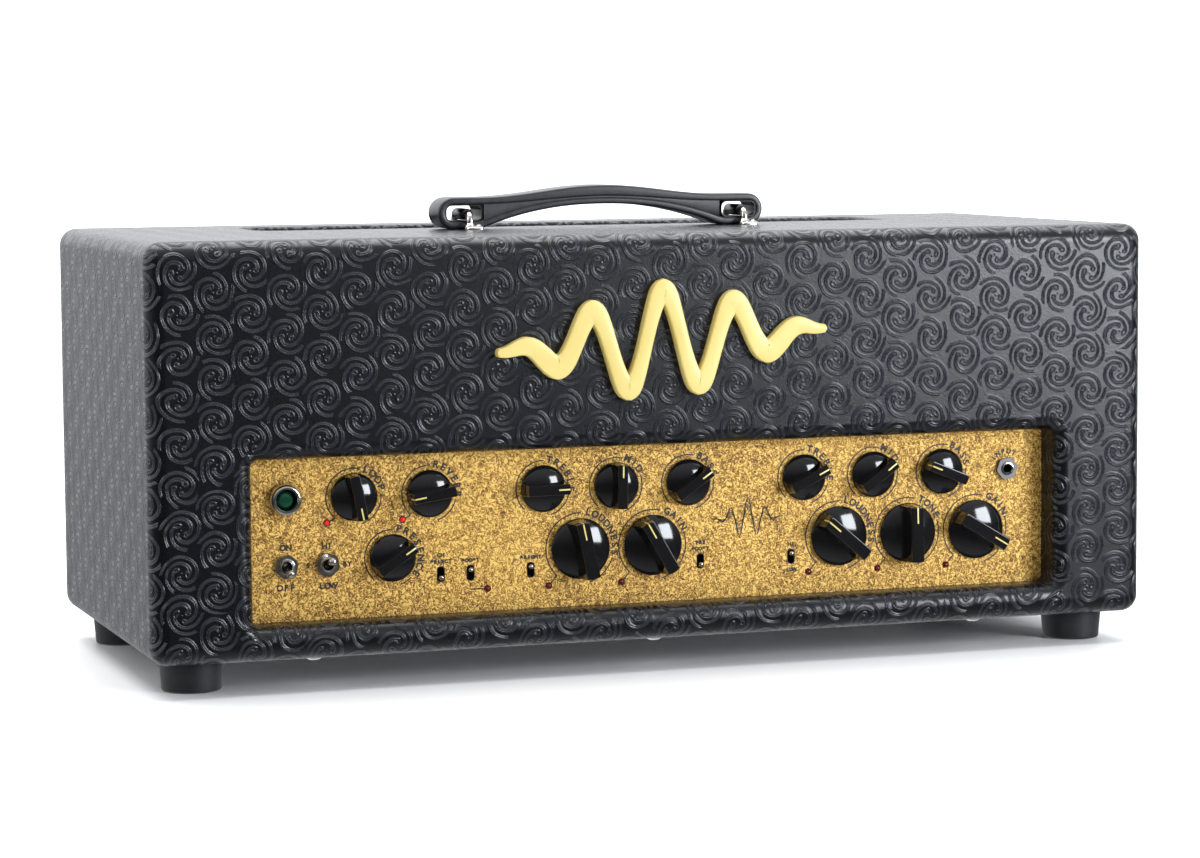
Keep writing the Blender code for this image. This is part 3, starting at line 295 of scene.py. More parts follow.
def sheet_metal(name, colour, rough, metallic, slot="zinc_steel"):
    """Plated or painted sheet, with faint rolling marks."""
    made = Finish(name, colour, rough, metallic, slot)
    streaks = made.noise(300, 3, 0.6, 0.2)
    spangle = made.cells(140)
    made.colours(spangle, (0.0, tuple(c * 0.78 for c in colour)), (0.9, colour))
    made.set("Roughness", streaks * 0.2 + rough - 0.1)
    made.bump(streaks, 0.03 * MM, 0.5)
    return made


def rubber():
    made = Finish("black_rubber", (0.012, 0.012, 0.013), 0.6, slot="rubber")
    grain = made.noise(1300, 3, 0.7)
    wear = made.noise(60, 3, 0.6)
    made.colours(wear, (0.35, (0.009, 0.009, 0.01)), (0.75, (0.022, 0.022, 0.024)))
    made.set("Roughness", grain * 0.2 + 0.42)
    made.bump(grain, 0.06 * MM, 0.6)
    return made


def strap_vinyl():
    made = Finish("strap_vinyl", (0.012, 0.012, 0.014), 0.35, slot="strap")
    grain = made.cells(1100, "SMOOTH_F1", Smoothness=0.5)
    creases = made.noise(260, 4, 0.6, 0.5)
    made.set("Roughness", creases * 0.25 + 0.22)
    made.colours(creases, (0.3, (0.009, 0.009, 0.011)), (0.8, (0.024, 0.024, 0.028)))
    made.bump(grain * 0.5 + creases, 0.08 * MM, 0.6)
    return made


def cream_plastic(slot):
    made = Finish("cream_plastic", (0.6, 0.48, 0.16), 0.3, slot=slot)
    tone = made.noise(26, 3)
    fine = made.noise(900, 3, 0.6)
    made.colours(tone, (0.3, (0.56, 0.445, 0.135)), (0.75, (0.63, 0.515, 0.18)))
    made.set("Roughness", fine * 0.18 + 0.24)
    made.set("Subsurface Weight", 0.12)
    made.set("Subsurface Scale", 2 * MM)
    made.bump(fine, 0.03 * MM, 0.4)
    return made


def plywood():
    made = Finish("birch_plywood", (0.5, 0.36, 0.21), 0.62)
    along = made.axis(2)
    rings = (made.noise(22, 4, 0.6, 1.5) * 9.0 + along * 160.0).apply("SINE")
    fibre = made.noise(260, 4, 0.7, 0.3)
    made.colours(rings * 0.12 + fibre * 0.6 + 0.2, (0.25, (0.36, 0.23, 0.12)), (0.8, (0.62, 0.46, 0.28)))
    made.set("Roughness", fibre * 0.3 + 0.45)
    made.bump(fibre, 0.12 * MM, 0.6)
    return made


def circuit_board():
    made = Finish("circuit_board", (0.03, 0.13, 0.07), 0.4)
    tracks = made.cells(420, "DISTANCE_TO_EDGE")
    made.colours(tracks, (0.05, (0.02, 0.09, 0.045)), (0.3, (0.045, 0.17, 0.09)))
    made.set("Roughness", made.noise(500) * 0.3 + 0.25)
    made.bump(tracks, 0.05 * MM, 0.5)
    return made


def clear_glass(name, colour, rough, transmission):
    made = Finish(name, colour, rough, slot=name)
    made.set("Transmission Weight", transmission)
    made.set("IOR", 1.5)
    made.set("Roughness", made.noise(90) * 0.05 + rough)
    made.bump(made.noise(40), 0.05 * MM, 0.3)
    return made


def print_ink():
    made = Finish("black_ink", (0.02, 0.014, 0.008), 0.5, slot="gold_panel")
    made.set("Roughness", made.noise(900) * 0.3 + 0.35)
    made.bump(made.noise(700), 0.02 * MM, 0.4)
    return made


def lamp_red(name, colour, glow):
    made = Finish(name, colour, 0.18, slot="knob_plastic")
    made.set("Roughness", made.noise(900) * 0.15 + 0.1)
    made.set("Emission Color", (*colour, 1.0))
    made.set("Emission Strength", glow)
    made.set("Transmission Weight", 0.3)
    made.bump(made.noise(600), 0.02 * MM, 0.3)
    return made


# ---------------------------------------------------------------- mesh helpers


def piece(name, bm, finish, place=None, body="root", sharp=35, stands_for=None, slot=None):
    """Turns a bmesh into a piece that rides on a body, in place of a CAD node if one is named.

    Edges sharper than an angle in degrees stay sharp.
    """
    bmesh.ops.recalc_face_normals(bm, faces=bm.faces)
    mesh = bpy.data.meshes.new(name)
    bm.to_mesh(mesh)
    bm.free()
    mesh.materials.append(finish.material)
    mesh.shade_smooth()
    mesh.set_sharp_from_angle(angle=math.radians(sharp))
    obj = bpy.data.objects.new(name, mesh)
    bpy.context.scene.collection.objects.link(obj)
    if place is not None:
        obj.matrix_world = place
    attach(obj, body)
    slot or finish.slot
    if stands_for:
        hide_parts(stands_for)
    return obj


def loft(bm, rings, joined=False, capped=True):
    """Adds a body through rings of points. A ring with one point is a tip."""
    loops = [[bm.verts.new(point) for point in ring] for ring in rings]
    pairs = list(zip(loops, loops[1:]))
    if joined:
        pairs.append((loops[-1], loops[0]))
    for near, far in pairs:
        count = max(len(near), len(far))
        for i in range(count):
            j = (i + 1) % count
            if len(near) == 1:
                bm.faces.new((near[0], far[i], far[j]))
            elif len(far) == 1:
                bm.faces.new((near[i], far[0], near[j]))
            else:
                bm.faces.new((near[i], far[i], far[j], near[j]))
    if capped and not joined:
        for end in (loops[0], loops[-1]):
            if len(end) > 2:
                bm.faces.new(end)


def circle(radius, z, segments, x=0.0, y=0.0, start=0.0):
    if radius == 0:
        return [Vector((x, y, z))]
    turn = 2 * math.pi / segments
    return [
        Vector((x + radius * math.cos(i * turn + start), y + radius * math.sin(i * turn + start), z))
        for i in range(segments)
    ]


def turned(bm, profile, segments=48, x=0.0, y=0.0, joined=False):
    """Adds a body turned about +Z from (radius, height) points in millimetres."""
    loft(bm, [circle(r * MM, z * MM, segments, x, y) for r, z in profile], joined)


def turned_piece(name, profile, finish, place, segments=48, joined=False, **options):
    """A piece of one body turned about its own +Z."""
    bm = bmesh.new()
    turned(bm, profile, segments, joined=joined)
    return piece(name, bm, finish, place, **options)


def box(bm, low, high, bevel=0.0, steps=3):
    xs, ys, zs = zip(low, high)
    corners = [Vector((x, y, z)) for x in xs for y in ys for z in zs]
    vertices = [bm.verts.new(corner) for corner in corners]
    sides = ((0, 1, 3, 2), (4, 6, 7, 5), (0, 4, 5, 1), (2, 3, 7, 6), (0, 2, 6, 4), (1, 5, 7, 3))
    faces = [bm.faces.new([vertices[i] for i in side]) for side in sides]
    if bevel:
        edges = list({edge for face in faces for edge in face.edges})
        bmesh.ops.bevel(bm, geom=edges, offset=bevel, segments=steps, profile=0.5, affect="EDGES")


def arc(centre, radius, start, end, steps=ARC_STEPS):
    points = []
    for step in range(steps + 1):
        angle = math.radians(start + (end - start) * step / steps)
        points.append((centre[0] + radius * math.cos(angle), centre[1] + radius * math.sin(angle)))
    return points


def rounded_outline(low_x, high_x, low_y, high_y, radius, steps=RING_STEPS):
    """Points round a rectangle with rounded corners, from its lower right corner on."""
    corners = (
        (high_x - radius, low_y + radius, -90),
        (high_x - radius, high_y - radius, 0),
        (low_x + radius, high_y - radius, 90),
        (low_x + radius, low_y + radius, 180),
    )
    points = []
    for x, y, start in corners:
        points += arc((x, y), radius, start, start + 90, steps)
    return points


def plates(rings, steps, x=0.0, y=0.0):
    """Rings of rounded rectangles about a point, from (half x, half y, height, corner) in millimetres."""
    return [
        [
            Vector((px, py, height * MM))
            for px, py in rounded_outline(
                x - half_x * MM, x + half_x * MM, y - half_y * MM, y + half_y * MM, corner * MM, steps
            )
        ]
        for half_x, half_y, height, corner in rings
    ]


def tube(bm, path, radius, segments=12):
    """Adds a round rod along a path of points."""
    rings = []
    side = None
    turn = 2 * math.pi / segments
    for index, point in enumerate(path):
        before = Vector(path[max(index - 1, 0)])
        after = Vector(path[min(index + 1, len(path) - 1)])
        along = (after - before).normalized()
        if side is None:
            side = along.orthogonal().normalized()
        side = (side - along * side.dot(along)).normalized()
        up = along.cross(side)
        spokes = [side * math.cos(i * turn) + up * math.sin(i * turn) for i in range(segments)]
        rings.append([Vector(point) + spoke * radius for spoke in spokes])
    loft(bm, rings)


# ---------------------------------------------------------------- covering


FACE_BOX = (
    EDGE_RADIUS - HALF_WIDTH,
    HALF_WIDTH - EDGE_RADIUS,
    BASE_Z + EDGE_RADIUS,
    TOP_Z - EDGE_RADIUS,
)  # the flat front, as low x, high x, low z, high z
WINDOW_BOX = (
    -WINDOW_HALF_WIDTH - LIP_RADIUS,
    WINDOW_HALF_WIDTH + LIP_RADIUS,
    WINDOW_LOW - LIP_RADIUS,
    WINDOW_HIGH + LIP_RADIUS,
)  # where the window's lip starts


def unrolled(side, point, reference, along):
    """UV metres of a point, with the sides folded out round the front: 0 bottom, 1 right, 2 top, 3 left."""
    low_x, high_x, low_z, high_z = reference
    if along == 0:
        return point.x, point.z
    places = (
        (point.x, low_z - along),
        (high_x + along, point.z),
        (point.x, high_z + along),
        (low_x - along, point.z),
    )
    return places[side]


def skin(rings, uv_of):
    """A closed skin lofted through rings of points, with UV metres from uv_of(ring, step, point)."""
    bm = bmesh.new()
    uv = bm.loops.layers.uv.new("UVMap")
    loops = [[bm.verts.new(point) for point in ring] for ring in rings]
    count = len(loops[0])
    for k in range(len(loops)):
        m = (k + 1) % len(loops)
        for i in range(count):
            j = (i + 1) % count
            face = bm.faces.new((loops[k][i], loops[m][i], loops[m][j], loops[k][j]))
            for loop, ring in zip(face.loops, (k, m, m, k)):
                loop[uv].uv = uv_of(ring, i, loop.vert.co)
    return bm


def upright_ring(outline, corner, y):
    """A rounded rectangle in a plane across the depth of the cabinet."""
    return [(x, y, z) for x, z in rounded_outline(*outline, max(corner, 0.4 * MM))]


def grown(outline, amount):
    low_x, high_x, low_z, high_z = outline
    return low_x - amount, high_x + amount, low_z - amount, high_z + amount


def cabinet_rings(depth):
    """Rings of the covering's surface at a depth below it, from the open back to the panel."""
    whole = (-HALF_WIDTH, HALF_WIDTH, BASE_Z, TOP_Z)
    quarter = math.pi / 2 * EDGE_RADIUS
    side_length = BACK_Y - FRONT_Y - 2 * EDGE_RADIUS
    back_along = 2 * quarter + side_length
    lining = LINING_INSET - depth
    rim = arc((LINING_INSET - RIM_RADIUS, BACK_Y - RIM_RADIUS), RIM_RADIUS - depth, 0, 90, 5)
    back = arc((EDGE_RADIUS, BACK_Y - EDGE_RADIUS), EDGE_RADIUS - depth, 90, 180)
    front = arc((EDGE_RADIUS, FRONT_Y + EDGE_RADIUS), EDGE_RADIUS - depth, 180, 270)
    points = [(lining, BACK_Y - LINING_DEPTH, back_along + LINING_INSET)]
    points += [(inset, y, back_along + LINING_INSET - inset * 0.5) for inset, y in rim]
    points += [(inset, y, back_along - quarter * i / ARC_STEPS) for i, (inset, y) in enumerate(back)]
    points += [(inset, y, quarter * (1 - i / ARC_STEPS)) for i, (inset, y) in enumerate(front)]
    rings = [(grown(whole, -inset), EDGE_RADIUS - inset, y, FACE_BOX, along) for inset, y, along in points]
    window = grown(WINDOW_BOX, -LIP_RADIUS)
    lip = arc((LIP_RADIUS, FRONT_Y + LIP_RADIUS), LIP_RADIUS - depth, 270, 180)
    quarter = math.pi / 2 * LIP_RADIUS
    points = [(outset, y, -quarter * i / ARC_STEPS) for i, (outset, y) in enumerate(lip)]
    panel_y = PANEL_Y - 0.2 * MM
    points += [(depth, panel_y, -quarter - (panel_y - FRONT_Y - LIP_RADIUS))]
    rings += [(grown(window, out), WINDOW_CORNER + out, y, WINDOW_BOX, along) for out, y, along in points]
    return rings


def make_cover(finish):
    thickness = 0.9 * MM
    rings = cabinet_rings(0) + cabinet_rings(thickness)[::-1]
    steps = RING_STEPS + 1

    def uv_of(ring, index, point):
        corner, step = divmod(index, steps)
        side = corner if step < RING_STEPS / 2 else (corner + 1) % 4
        return unrolled(side, point, *rings[ring][3:])

    bm = skin([upright_ring(*ring[:3]) for ring in rings], uv_of)
    cover = piece("vinyl_covering", bm, finish, sharp=50, stands_for="cabinet_cover")
    bm = bmesh.new()
    hole = vent_outline(VENT_LIP)
    loft(bm, [[Vector((x, y, TOP_Z + step * 6 * MM)) for x, y in hole] for step in (-1, 1)])
    cut(cover, bm)
    weight_normals(cover)


def vent_outline(out):
    """Outline of the vent in the top, grown by a distance."""
    return rounded_outline(
        -VENT_HALF_WIDTH - out, VENT_HALF_WIDTH + out, VENT_LOW_Y - out, VENT_HIGH_Y + out, VENT_CORNER + out
    )


def cut(obj, bm):
    """Cuts a body out of a piece for good."""
    bmesh.ops.recalc_face_normals(bm, faces=bm.faces)
    mesh = bpy.data.meshes.new("tool")
    bm.to_mesh(mesh)
    bm.free()
    tool = bpy.data.objects.new("tool", mesh)
    bpy.context.scene.collection.objects.link(tool)
    modifier = obj.modifiers.new("cut", "BOOLEAN")
    modifier.operation = "DIFFERENCE"
    modifier.solver = "EXACT"
    modifier.object = tool
    graph = bpy.context.evaluated_depsgraph_get()
    graph.update()
    made = bpy.data.meshes.new_from_object(obj.evaluated_get(graph))
    obj.modifiers.clear()
    obj.data = made
    bpy.data.objects.remove(tool)


def weight_normals(obj):
    modifier = obj.modifiers.new("flat_faces", "WEIGHTED_NORMAL")
    modifier.keep_sharp = True
    modifier.weight = 80


def make_vent_lip(finish):
    """The covering rolls down into the vent round its edge."""
    top_shift = TOP_Z - EDGE_RADIUS + math.pi / 2 * EDGE_RADIUS - FRONT_Y - EDGE_RADIUS
    radius = VENT_LIP + VENT_SKIN
    foot = TOP_Z - 17.5 * MM
    inner = -0.05 * MM
    under = TOP_Z - 1.2 * MM
    profile = arc((VENT_LIP, TOP_Z - radius), radius, 90, 180, 6)
    profile += [(-VENT_SKIN, foot), (inner, foot), (inner, under), (VENT_LIP, under)]
    rings = [[(x, y, z) for x, y in vent_outline(out)] for out, z in profile]
    bm = skin(rings, lambda ring, index, point: (point.x, point.y + top_shift - (TOP_Z - point.z)))
    piece("vent_lip", bm, finish, sharp=60)


def perforated(low, high, pitch, radius, depth_axis):
    """A sheet with a grid of round holes for a CAD grille, centred on the origin with its top at height 0."""
    thickness = high[depth_axis] - low[depth_axis]
    width, depth = (high[axis] - low[axis] for axis in range(3) if axis != depth_axis)
    columns, rows = int(width / pitch), int(depth / pitch)
    sides = 12
    bm = bmesh.new()
    half = pitch / 2
    for column in range(columns):
        for row in range(rows):
            x = (column + 0.5 - columns / 2) * pitch
            y = (row + 0.5 - rows / 2) * pitch
            rings = []
            for z in (0, -thickness):
                hole, edge = [], []
                for step in range(sides):
                    angle = 2 * math.pi * (step + 0.5) / sides
                    c, s = math.cos(angle), math.sin(angle)
                    reach = half / max(abs(c), abs(s))
                    hole.append((x + radius * c, y + radius * s, z))
                    edge.append((x + reach * c, y + reach * s, z))
                rings.append([bm.verts.new(point) for point in hole])
                rings.append([bm.verts.new(point) for point in edge])
            top_hole, top_edge, low_hole, low_edge = rings
            for i in range(sides):
                j = (i + 1) % sides
                bm.faces.new((top_hole[i], top_edge[i], top_edge[j], top_hole[j]))
                bm.faces.new((low_edge[i], low_hole[i], low_hole[j], low_edge[j]))
                bm.faces.new((low_hole[i], top_hole[i], top_hole[j], low_hole[j]))
    return bm


def make_top_grille(finish):
    low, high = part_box("top_grille")
    bm = perforated(low, high, 8 * MM, 3 * MM, 2)
    middle = Matrix.Translation(((low.x + high.x) / 2, (low.y + high.y) / 2, high.z))
    piece("top_perforated_grille", bm, finish, middle, stands_for="top_grille")


def make_back(vinyl, sheet, screw_metal):
    """The back panel, its grille and its screws."""
    low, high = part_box("back_panel")
    margin = 26 * MM
    window = (-270 * MM, 270 * MM, low.z + margin, high.z - margin)
    edge = (low.x, high.x, low.z, high.z)
    front, back = low.y, high.y
    corner = 3 * MM
    rounds = [(inset, y) for inset, y in arc((corner, back - corner), corner, 180, 90, 5)]
    rings = [(edge, 2 * MM, front)]
    rings += [(grown(edge, -inset), 2 * MM + inset * 0.3, y) for inset, y in rounds]
    rings += [(grown(window, inset), 8 * MM + inset, y) for inset, y in reversed(rounds)]
    rings += [(window, 8 * MM, front)]
    rings = [upright_ring(*ring) for ring in rings]
    bm = skin(rings, lambda ring, index, point: (-point.x, point.z + (back - point.y)))
    weight_normals(piece("back_panel_covered", bm, vinyl, sharp=50, stands_for="back_panel"))
    grille_low, grille_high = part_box("back_grille")
    bm = perforated(grille_low, grille_high, 8 * MM, 3.1 * MM, 1)
    centre = Matrix.Translation((0, grille_high.y, (grille_low.z + grille_high.z) / 2))
    piece("back_perforated_grille", bm, sheet, centre @ FACE_BACK, stands_for="back_grille")
    bm = bmesh.new()
    for x in (-322, -110, 110, 322):
        for z in (low.z + 12 * MM, high.z - 12 * MM):
            pan_screw(bm, x * MM, z, 0, 4.4)
    piece("back_panel_screws", bm, screw_metal, Matrix.Translation((0, back + 0.1 * MM, 0)) @ FACE_BACK)


def pan_screw(bm, x, y, z, radius):
    """A domed screw head with a cup washer and a cross recess, in local X and Y. Radius in millimetres."""
    base = z / MM
    rim = base + 1.1
    washer = ((0, base), (radius * 1.7, base), (radius * 1.6, base + 0.7), (radius * 1.1, rim), (0, rim))
    turned(bm, washer, 24, x, y)
    rise = radius * 0.55
    head = [(0, base + 0.6), (radius, base + 1.0)]
    head += [(radius * math.cos(a), base + 1.0 + rise * math.sin(a)) for a in (0.35, 0.7, 1.05, 1.35)]
    head += [(0, base + 1.0 + rise)]
    turned(bm, head, 24, x, y)
    top = (base + 1.0 + rise * 0.93) * MM
    reach, half = radius * 0.5 * MM, radius * 0.1 * MM
    for across, deep in ((reach, half), (half, reach)):
        box(bm, (x - across, y - deep, top - 0.6 * MM), (x + across, y + deep, top + 0.12 * MM))


# ---------------------------------------------------------------- panel print


def letter_mesh(text, size):
    """A flat outline of one character, centred on its baseline's middle."""
    curve = bpy.data.curves.new("letter", "FONT")
    curve.body = text
    curve.size = size
    curve.align_x = "CENTER"
    curve.extrude = 0.02 * MM
    curve.offset = 0.3 * MM
    curve.resolution_u = 3
    obj = bpy.data.objects.new("letter", curve)
    bpy.context.scene.collection.objects.link(obj)
    graph = bpy.context.evaluated_depsgraph_get()
    graph.update()
    mesh = bpy.data.meshes.new_from_object(obj.evaluated_get(graph))
    bpy.data.objects.remove(obj)
    return mesh


LETTERS = {}


def add_letter(bm, text, size, place):
    key = (text, size)
    if key not in LETTERS:
        LETTERS[key] = letter_mesh(text, size)
    mesh = LETTERS[key].copy()
    mesh.transform(place)
    bm.from_mesh(mesh)


def add_word(bm, word, x, z, size, spacing=0.78):
    """A level word centred at a place on the panel."""
    for index, letter in enumerate(word):
        shift = (index - (len(word) - 1) / 2) * size * spacing
        add_letter(bm, letter, size, Matrix.Translation((x + shift, z - size * 0.35, 0)))


def add_word_round(bm, word, x, z, radius, start, size, spacing=0.8):
    """A word that follows a circle clockwise from a start angle, in degrees clockwise from straight up."""
    step = math.degrees(size * spacing / radius)
    for index, letter in enumerate(word):
        angle = math.radians(start + index * step)
        spot = Matrix.Translation((x + radius * math.sin(angle), z + radius * math.cos(angle), 0))
        add_letter(bm, letter, size, spot @ Matrix.Rotation(-angle, 4, "Z"))
    return start + len(word) * step


def add_line(bm, points, width):
    """A flat printed line through (x, z) points."""
    half = width / 2
    left, right = [], []
    for index, point in enumerate(points):
        before = Vector(points[max(index - 1, 0)])
        after = Vector(points[min(index + 1, len(points) - 1)])
        along = (after - before).normalized()
        left.append((point[0] - along.y * half, point[1] + along.x * half))
        right.append((point[0] + along.y * half, point[1] - along.x * half))
    thick = 0.02 * MM
    for i in range(len(points) - 1):
        corners = (left[i], left[i + 1], right[i + 1], right[i])
        loft(bm, [[Vector((x, y, z)) for x, y in corners] for z in (-thick, thick)])


def ring_points(x, z, radius, start, end):
    steps = max(4, int(abs(end - start) / 5))
    turns = [math.radians(start + (end - start) * i / steps) for i in range(steps + 1)]
    return [(x + radius * math.sin(a), z + radius * math.cos(a)) for a in turns]


# word printed round each knob, and its pointer's angle in degrees clockwise from straight up
KNOBS = {
    "knob_loop_level": ("LOOP", 169),
    "knob_reverb": ("REVERB", -99),
    "knob_presence": ("PRESENCE", 57),
    "knob_treble_one": ("TREBLE", 89),
    "knob_mid_one": ("MID", 1),
    "knob_bass_one": ("BASS", 56),
    "knob_loudness_one": ("LOUDNESS", -12),
    "knob_gain_one": ("GAIN", -30),
    "knob_treble_two": ("TREBLE", 64),
    "knob_mid_two": ("MID", 54),
    "knob_bass_two": ("BASS", -68),
    "knob_loudness_two": ("LOUDNESS", -50),
    "knob_equaliser_two": ("TONE", -1),
    "knob_gain_two": ("GAIN", 121),
}
LAMP_KNOBS = (
    "knob_loop_level",
    "knob_reverb",
    "knob_loudness_one",
    "knob_gain_one",
    "knob_loudness_two",
    "knob_equaliser_two",
    "knob_gain_two",
)
BRIGHT_LAMPS = ("knob_loop_level", "knob_reverb")
SLOT_WORDS = {
    "lever_channel": ("CH", "SELECT"),
    "lever_boost": ("BOOST",),
    "lever_bright_one": ("BRIGHT",),
    "lever_boost_two": ("PRE", "BOOST"),
    "lever_loudness_two": ("HI",),
}
LINE_WIDTH = 0.9 * MM


def centre_of(node):
    """Where a control stands on the panel, as (x, z)."""
    joint = JOINTS.get(node)
    if joint:
        return joint["pos_m"][0], joint["pos_m"][2]
    low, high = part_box(node)
    return (low.x + high.x) / 2, (low.z + high.z) / 2


def is_big(node):
    low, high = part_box(node)
    return high.x - low.x > 36 * MM


def lamp_place(node):
    x, z = centre_of(node)
    if node == "lever_boost":
        return x + 11.8 * MM, z - 11.2 * MM
    return (x - 22.3 * MM, z - 24.3 * MM) if is_big(node) else (x - 18.5 * MM, z - 16.6 * MM)


def print_knob_scale(bm, node, word):
    """An arc round a knob, broken by its word, and a lead to its lamp."""
    x, z = centre_of(node)
    radius = 24.2 * MM if is_big(node) else 18.9 * MM
    arc_start, arc_end = -137, 163
    start = 20 if len(word) < 6 else 8
    end = add_word_round(bm, word, x, z, radius - 1.2 * MM, start + 6, 6.6 * MM, 0.74)
    add_line(bm, ring_points(x, z, radius, arc_start, start - 6), LINE_WIDTH)
    add_line(bm, ring_points(x, z, radius, end - 4, arc_end), LINE_WIDTH)
    if node in LAMP_KNOBS:
        corner = ring_points(x, z, radius, arc_start, arc_start + 7)[0]
        add_line(bm, [corner, lamp_place(node)], LINE_WIDTH)


def print_words_near(bm, node, *words):
    """Level words near a control: each is (word, x, z, size, spacing), with lengths in millimetres."""
    x, z = centre_of(node)
    for word, across, up, size, spacing in words:
        add_word(bm, word, x + across * MM, z + up * MM, size * MM, spacing)


def print_emblem(bm):
    """A plain wave burst between the two rows of knobs."""
    middle_x = (centre_of("knob_bass_one")[0] + centre_of("knob_treble_two")[0]) / 2 + 1.5 * MM
    middle_z = (centre_of("knob_bass_one")[1] + centre_of("lever_channel")[1]) / 2 + 1 * MM
    steps = 60
    waves = 4
    for line in range(5):
        amplitude = (14 - 2.8 * line) * MM
        wave = []
        for step in range(steps + 1):
            t = step / steps
            burst = math.sin(math.pi * t) ** 2
            height = amplitude * burst * math.cos(2 * math.pi * waves * (t - 0.5))
            wave.append((middle_x + (t - 0.5) * 52 * MM, middle_z + height))
        add_line(bm, wave, (0.75 if line == 0 else 0.35) * MM)


def make_print(finish):
    """Scale arcs, leads to the lamps and plain function words."""
    bm = bmesh.new()
    for node, (word, _) in KNOBS.items():
        print_knob_scale(bm, node, word)
    x, z = centre_of("lever_boost")
    lamp = lamp_place("lever_boost")
    add_line(bm, [(x, z - 6.6 * MM), (x, lamp[1]), lamp], LINE_WIDTH)
    print_words_near(bm, "power_lever", ("ON", 0, 12.5, 5.4, 0.78), ("OFF", 0, -14, 5.4, 0.78))
    print_words_near(
        bm,
        "standby_lever",
        ("HI", 0, 12.5, 5.4, 0.6),
        ("LOW", 0, -14, 5.4, 0.78),
        ("S", -13, 0, 4.2, 0.78),
        ("BY", 13.5, 0, 4.2, 0.78),
    )
    x, z = centre_of("input_jack")
    add_word_round(bm, "INPUT", x, z, 10.5 * MM, -52, 4.8 * MM, 0.78)
    for node, words in SLOT_WORDS.items():
        lines = [(word, 0, 8.6 + 4.3 * line, 3.2, 0.8) for line, word in enumerate(reversed(words))]
        print_words_near(bm, node, *lines)
    print_words_near(bm, "lever_loudness_two", ("LOW", 0, -9.2, 3.2, 0.8))
    print_emblem(bm)
    piece("panel_print", bm, finish, Matrix.Translation((0, PANEL_Y - 0.05 * MM, 0)) @ FACE_OUT)


# ---------------------------------------------------------------- controls


def on_panel(x, z, turn=0.0):
    """Place on the panel's face with local +Z to the front, turned clockwise by an angle in degrees."""
    return Matrix.Translation((x, PANEL_Y, z)) @ Matrix.Rotation(math.radians(turn), 4, "Y") @ FACE_OUT


def bar_ring(half_width, reach, z, steps=6):
    """Outline of a knob's bar: two straight sides, and ends that follow a circle."""
    side = math.degrees(math.asin(half_width / reach))
    ends = arc((0, 0), reach, 90 - side, 90 + side, steps) + arc((0, 0), reach, 270 - side, 270 + side, steps)
    return [Vector((x, y, z)) for x, y in ends]


def make_knob(node, gloss, cream, washer_metal):
    """A domed skirt, a tapering bar across it, a raised pointer line, and a washer on the panel."""
    big = is_big(node)
    radius, height, bar = (20.7, 20.0, 10.8) if big else (15.9, 16.0, 8.4)
    x, z = centre_of(node)
    place = on_panel(x, z, KNOBS[node][1])
    dome_foot, rise, steps = 2.7, 4.4, 9
    profile = [(0, -9.5), (3.2, -9.5), (3.2, 1.0)]
    profile += [(radius - 0.5, 1.0), (radius, 1.4), (radius, 2.2), (radius - 0.15, 2.55)]
    for step in range(steps):
        share = 0.975 * (1 - step / steps)
        profile.append((radius * share, dome_foot + rise * (1 - share**2.4)))
    profile.append((0, dome_foot + rise))
    turned_piece(node + "_skirt", profile, gloss, place, 72, body=node, sharp=40, stands_for=node)
    bm = bmesh.new()
    sections = (
        (0.66, 0.985, 2.2),
        (0.58, 0.975, 3.6),
        (0.52, 0.965, 5.4),
        (0.47, 0.955, 8.0),
        (0.435, 0.945, height - 2.4),
        (0.42, 0.94, height - 1.0),
        (0.405, 0.935, height - 0.45),
        (0.375, 0.925, height - 0.12),
        (0.335, 0.91, height),
    )  # half width as a share of the bar, reach as a share of the radius, and height
    loft(bm, [bar_ring(bar * width * MM, radius * reach * MM, z * MM) for width, reach, z in sections])
    weight_normals(piece(node + "_bar", bm, gloss, place, body=node, sharp=32, stands_for=node))
    bm = bmesh.new()
    reach = radius * 0.94
    length = 11.5 if big else 8.5
    half = 0.5 * MM
    thickness = Vector((0, 0.3, 0.3)) * MM
    rows = ((reach - length, height + 0.04), (reach - 0.7, height + 0.04), (reach - 0.15, height - 0.3))
    rows += ((reach + 0.12, height - 1.0), (reach + 0.12 + 0.01 * height, height * 0.62))
    rings = []
    for y, level in rows:
        left, right = (Vector((x, y * MM, level * MM)) for x in (-half, half))
        rings.append([left, right, right - thickness, left - thickness])
    loft(bm, rings)
    piece(node + "_pointer", bm, cream, place, body=node, sharp=40)
    profile = ((3.3, 0.1), (6.2, 0.1), (6.2, 0.6), (5.9, 0.8), (3.3, 0.8))
    turned_piece(node + "_washer", profile, washer_metal, on_panel(x, z), 36, True, sharp=40)


def lever_place(joint, tilt):
    """Place of a lever on its pivot, tilted in degrees towards the side where its joint's travel starts."""
    up = joint["range_deg"][0] < 0
    turn = math.radians(90 - tilt if up else 90 + tilt)
    return Matrix.Translation(joint["pos_m"]) @ Matrix.Rotation(turn, 4, "X")


def make_slot_lever(node, metal, black):
    """A lever with a ball end, and the liner of its slot."""
    joint = JOINTS[node]
    profile = [(0, -1.5), (0.8, -1.4), (1, -1), (0.95, 5.0), (1.05, 6.6)]
    profile += [(px, pz + 8.4) for px, pz in arc((0, 0), 1.75, -52, 84, 10)] + [(0, 10.15)]
    place = lever_place(joint, 15)
    turned_piece(node + "_ball", profile, metal, place, 28, body=node, sharp=50, stands_for=node)
    rings = ((2.75, 5.25, -8.6), (2.75, 5.25, 0.12), (2.35, 4.85, 0.12))
    rings += ((2.3, 4.8, -0.5), (2.3, 4.8, -8.1), (0.2, 0.2, -8.12))
    bm = bmesh.new()
    loft(bm, plates([(*ring, min(2.2, ring[0]) * 0.98) for ring in rings], 5))
    piece(node + "_slot", bm, black, on_panel(*centre_of(node)), sharp=40)


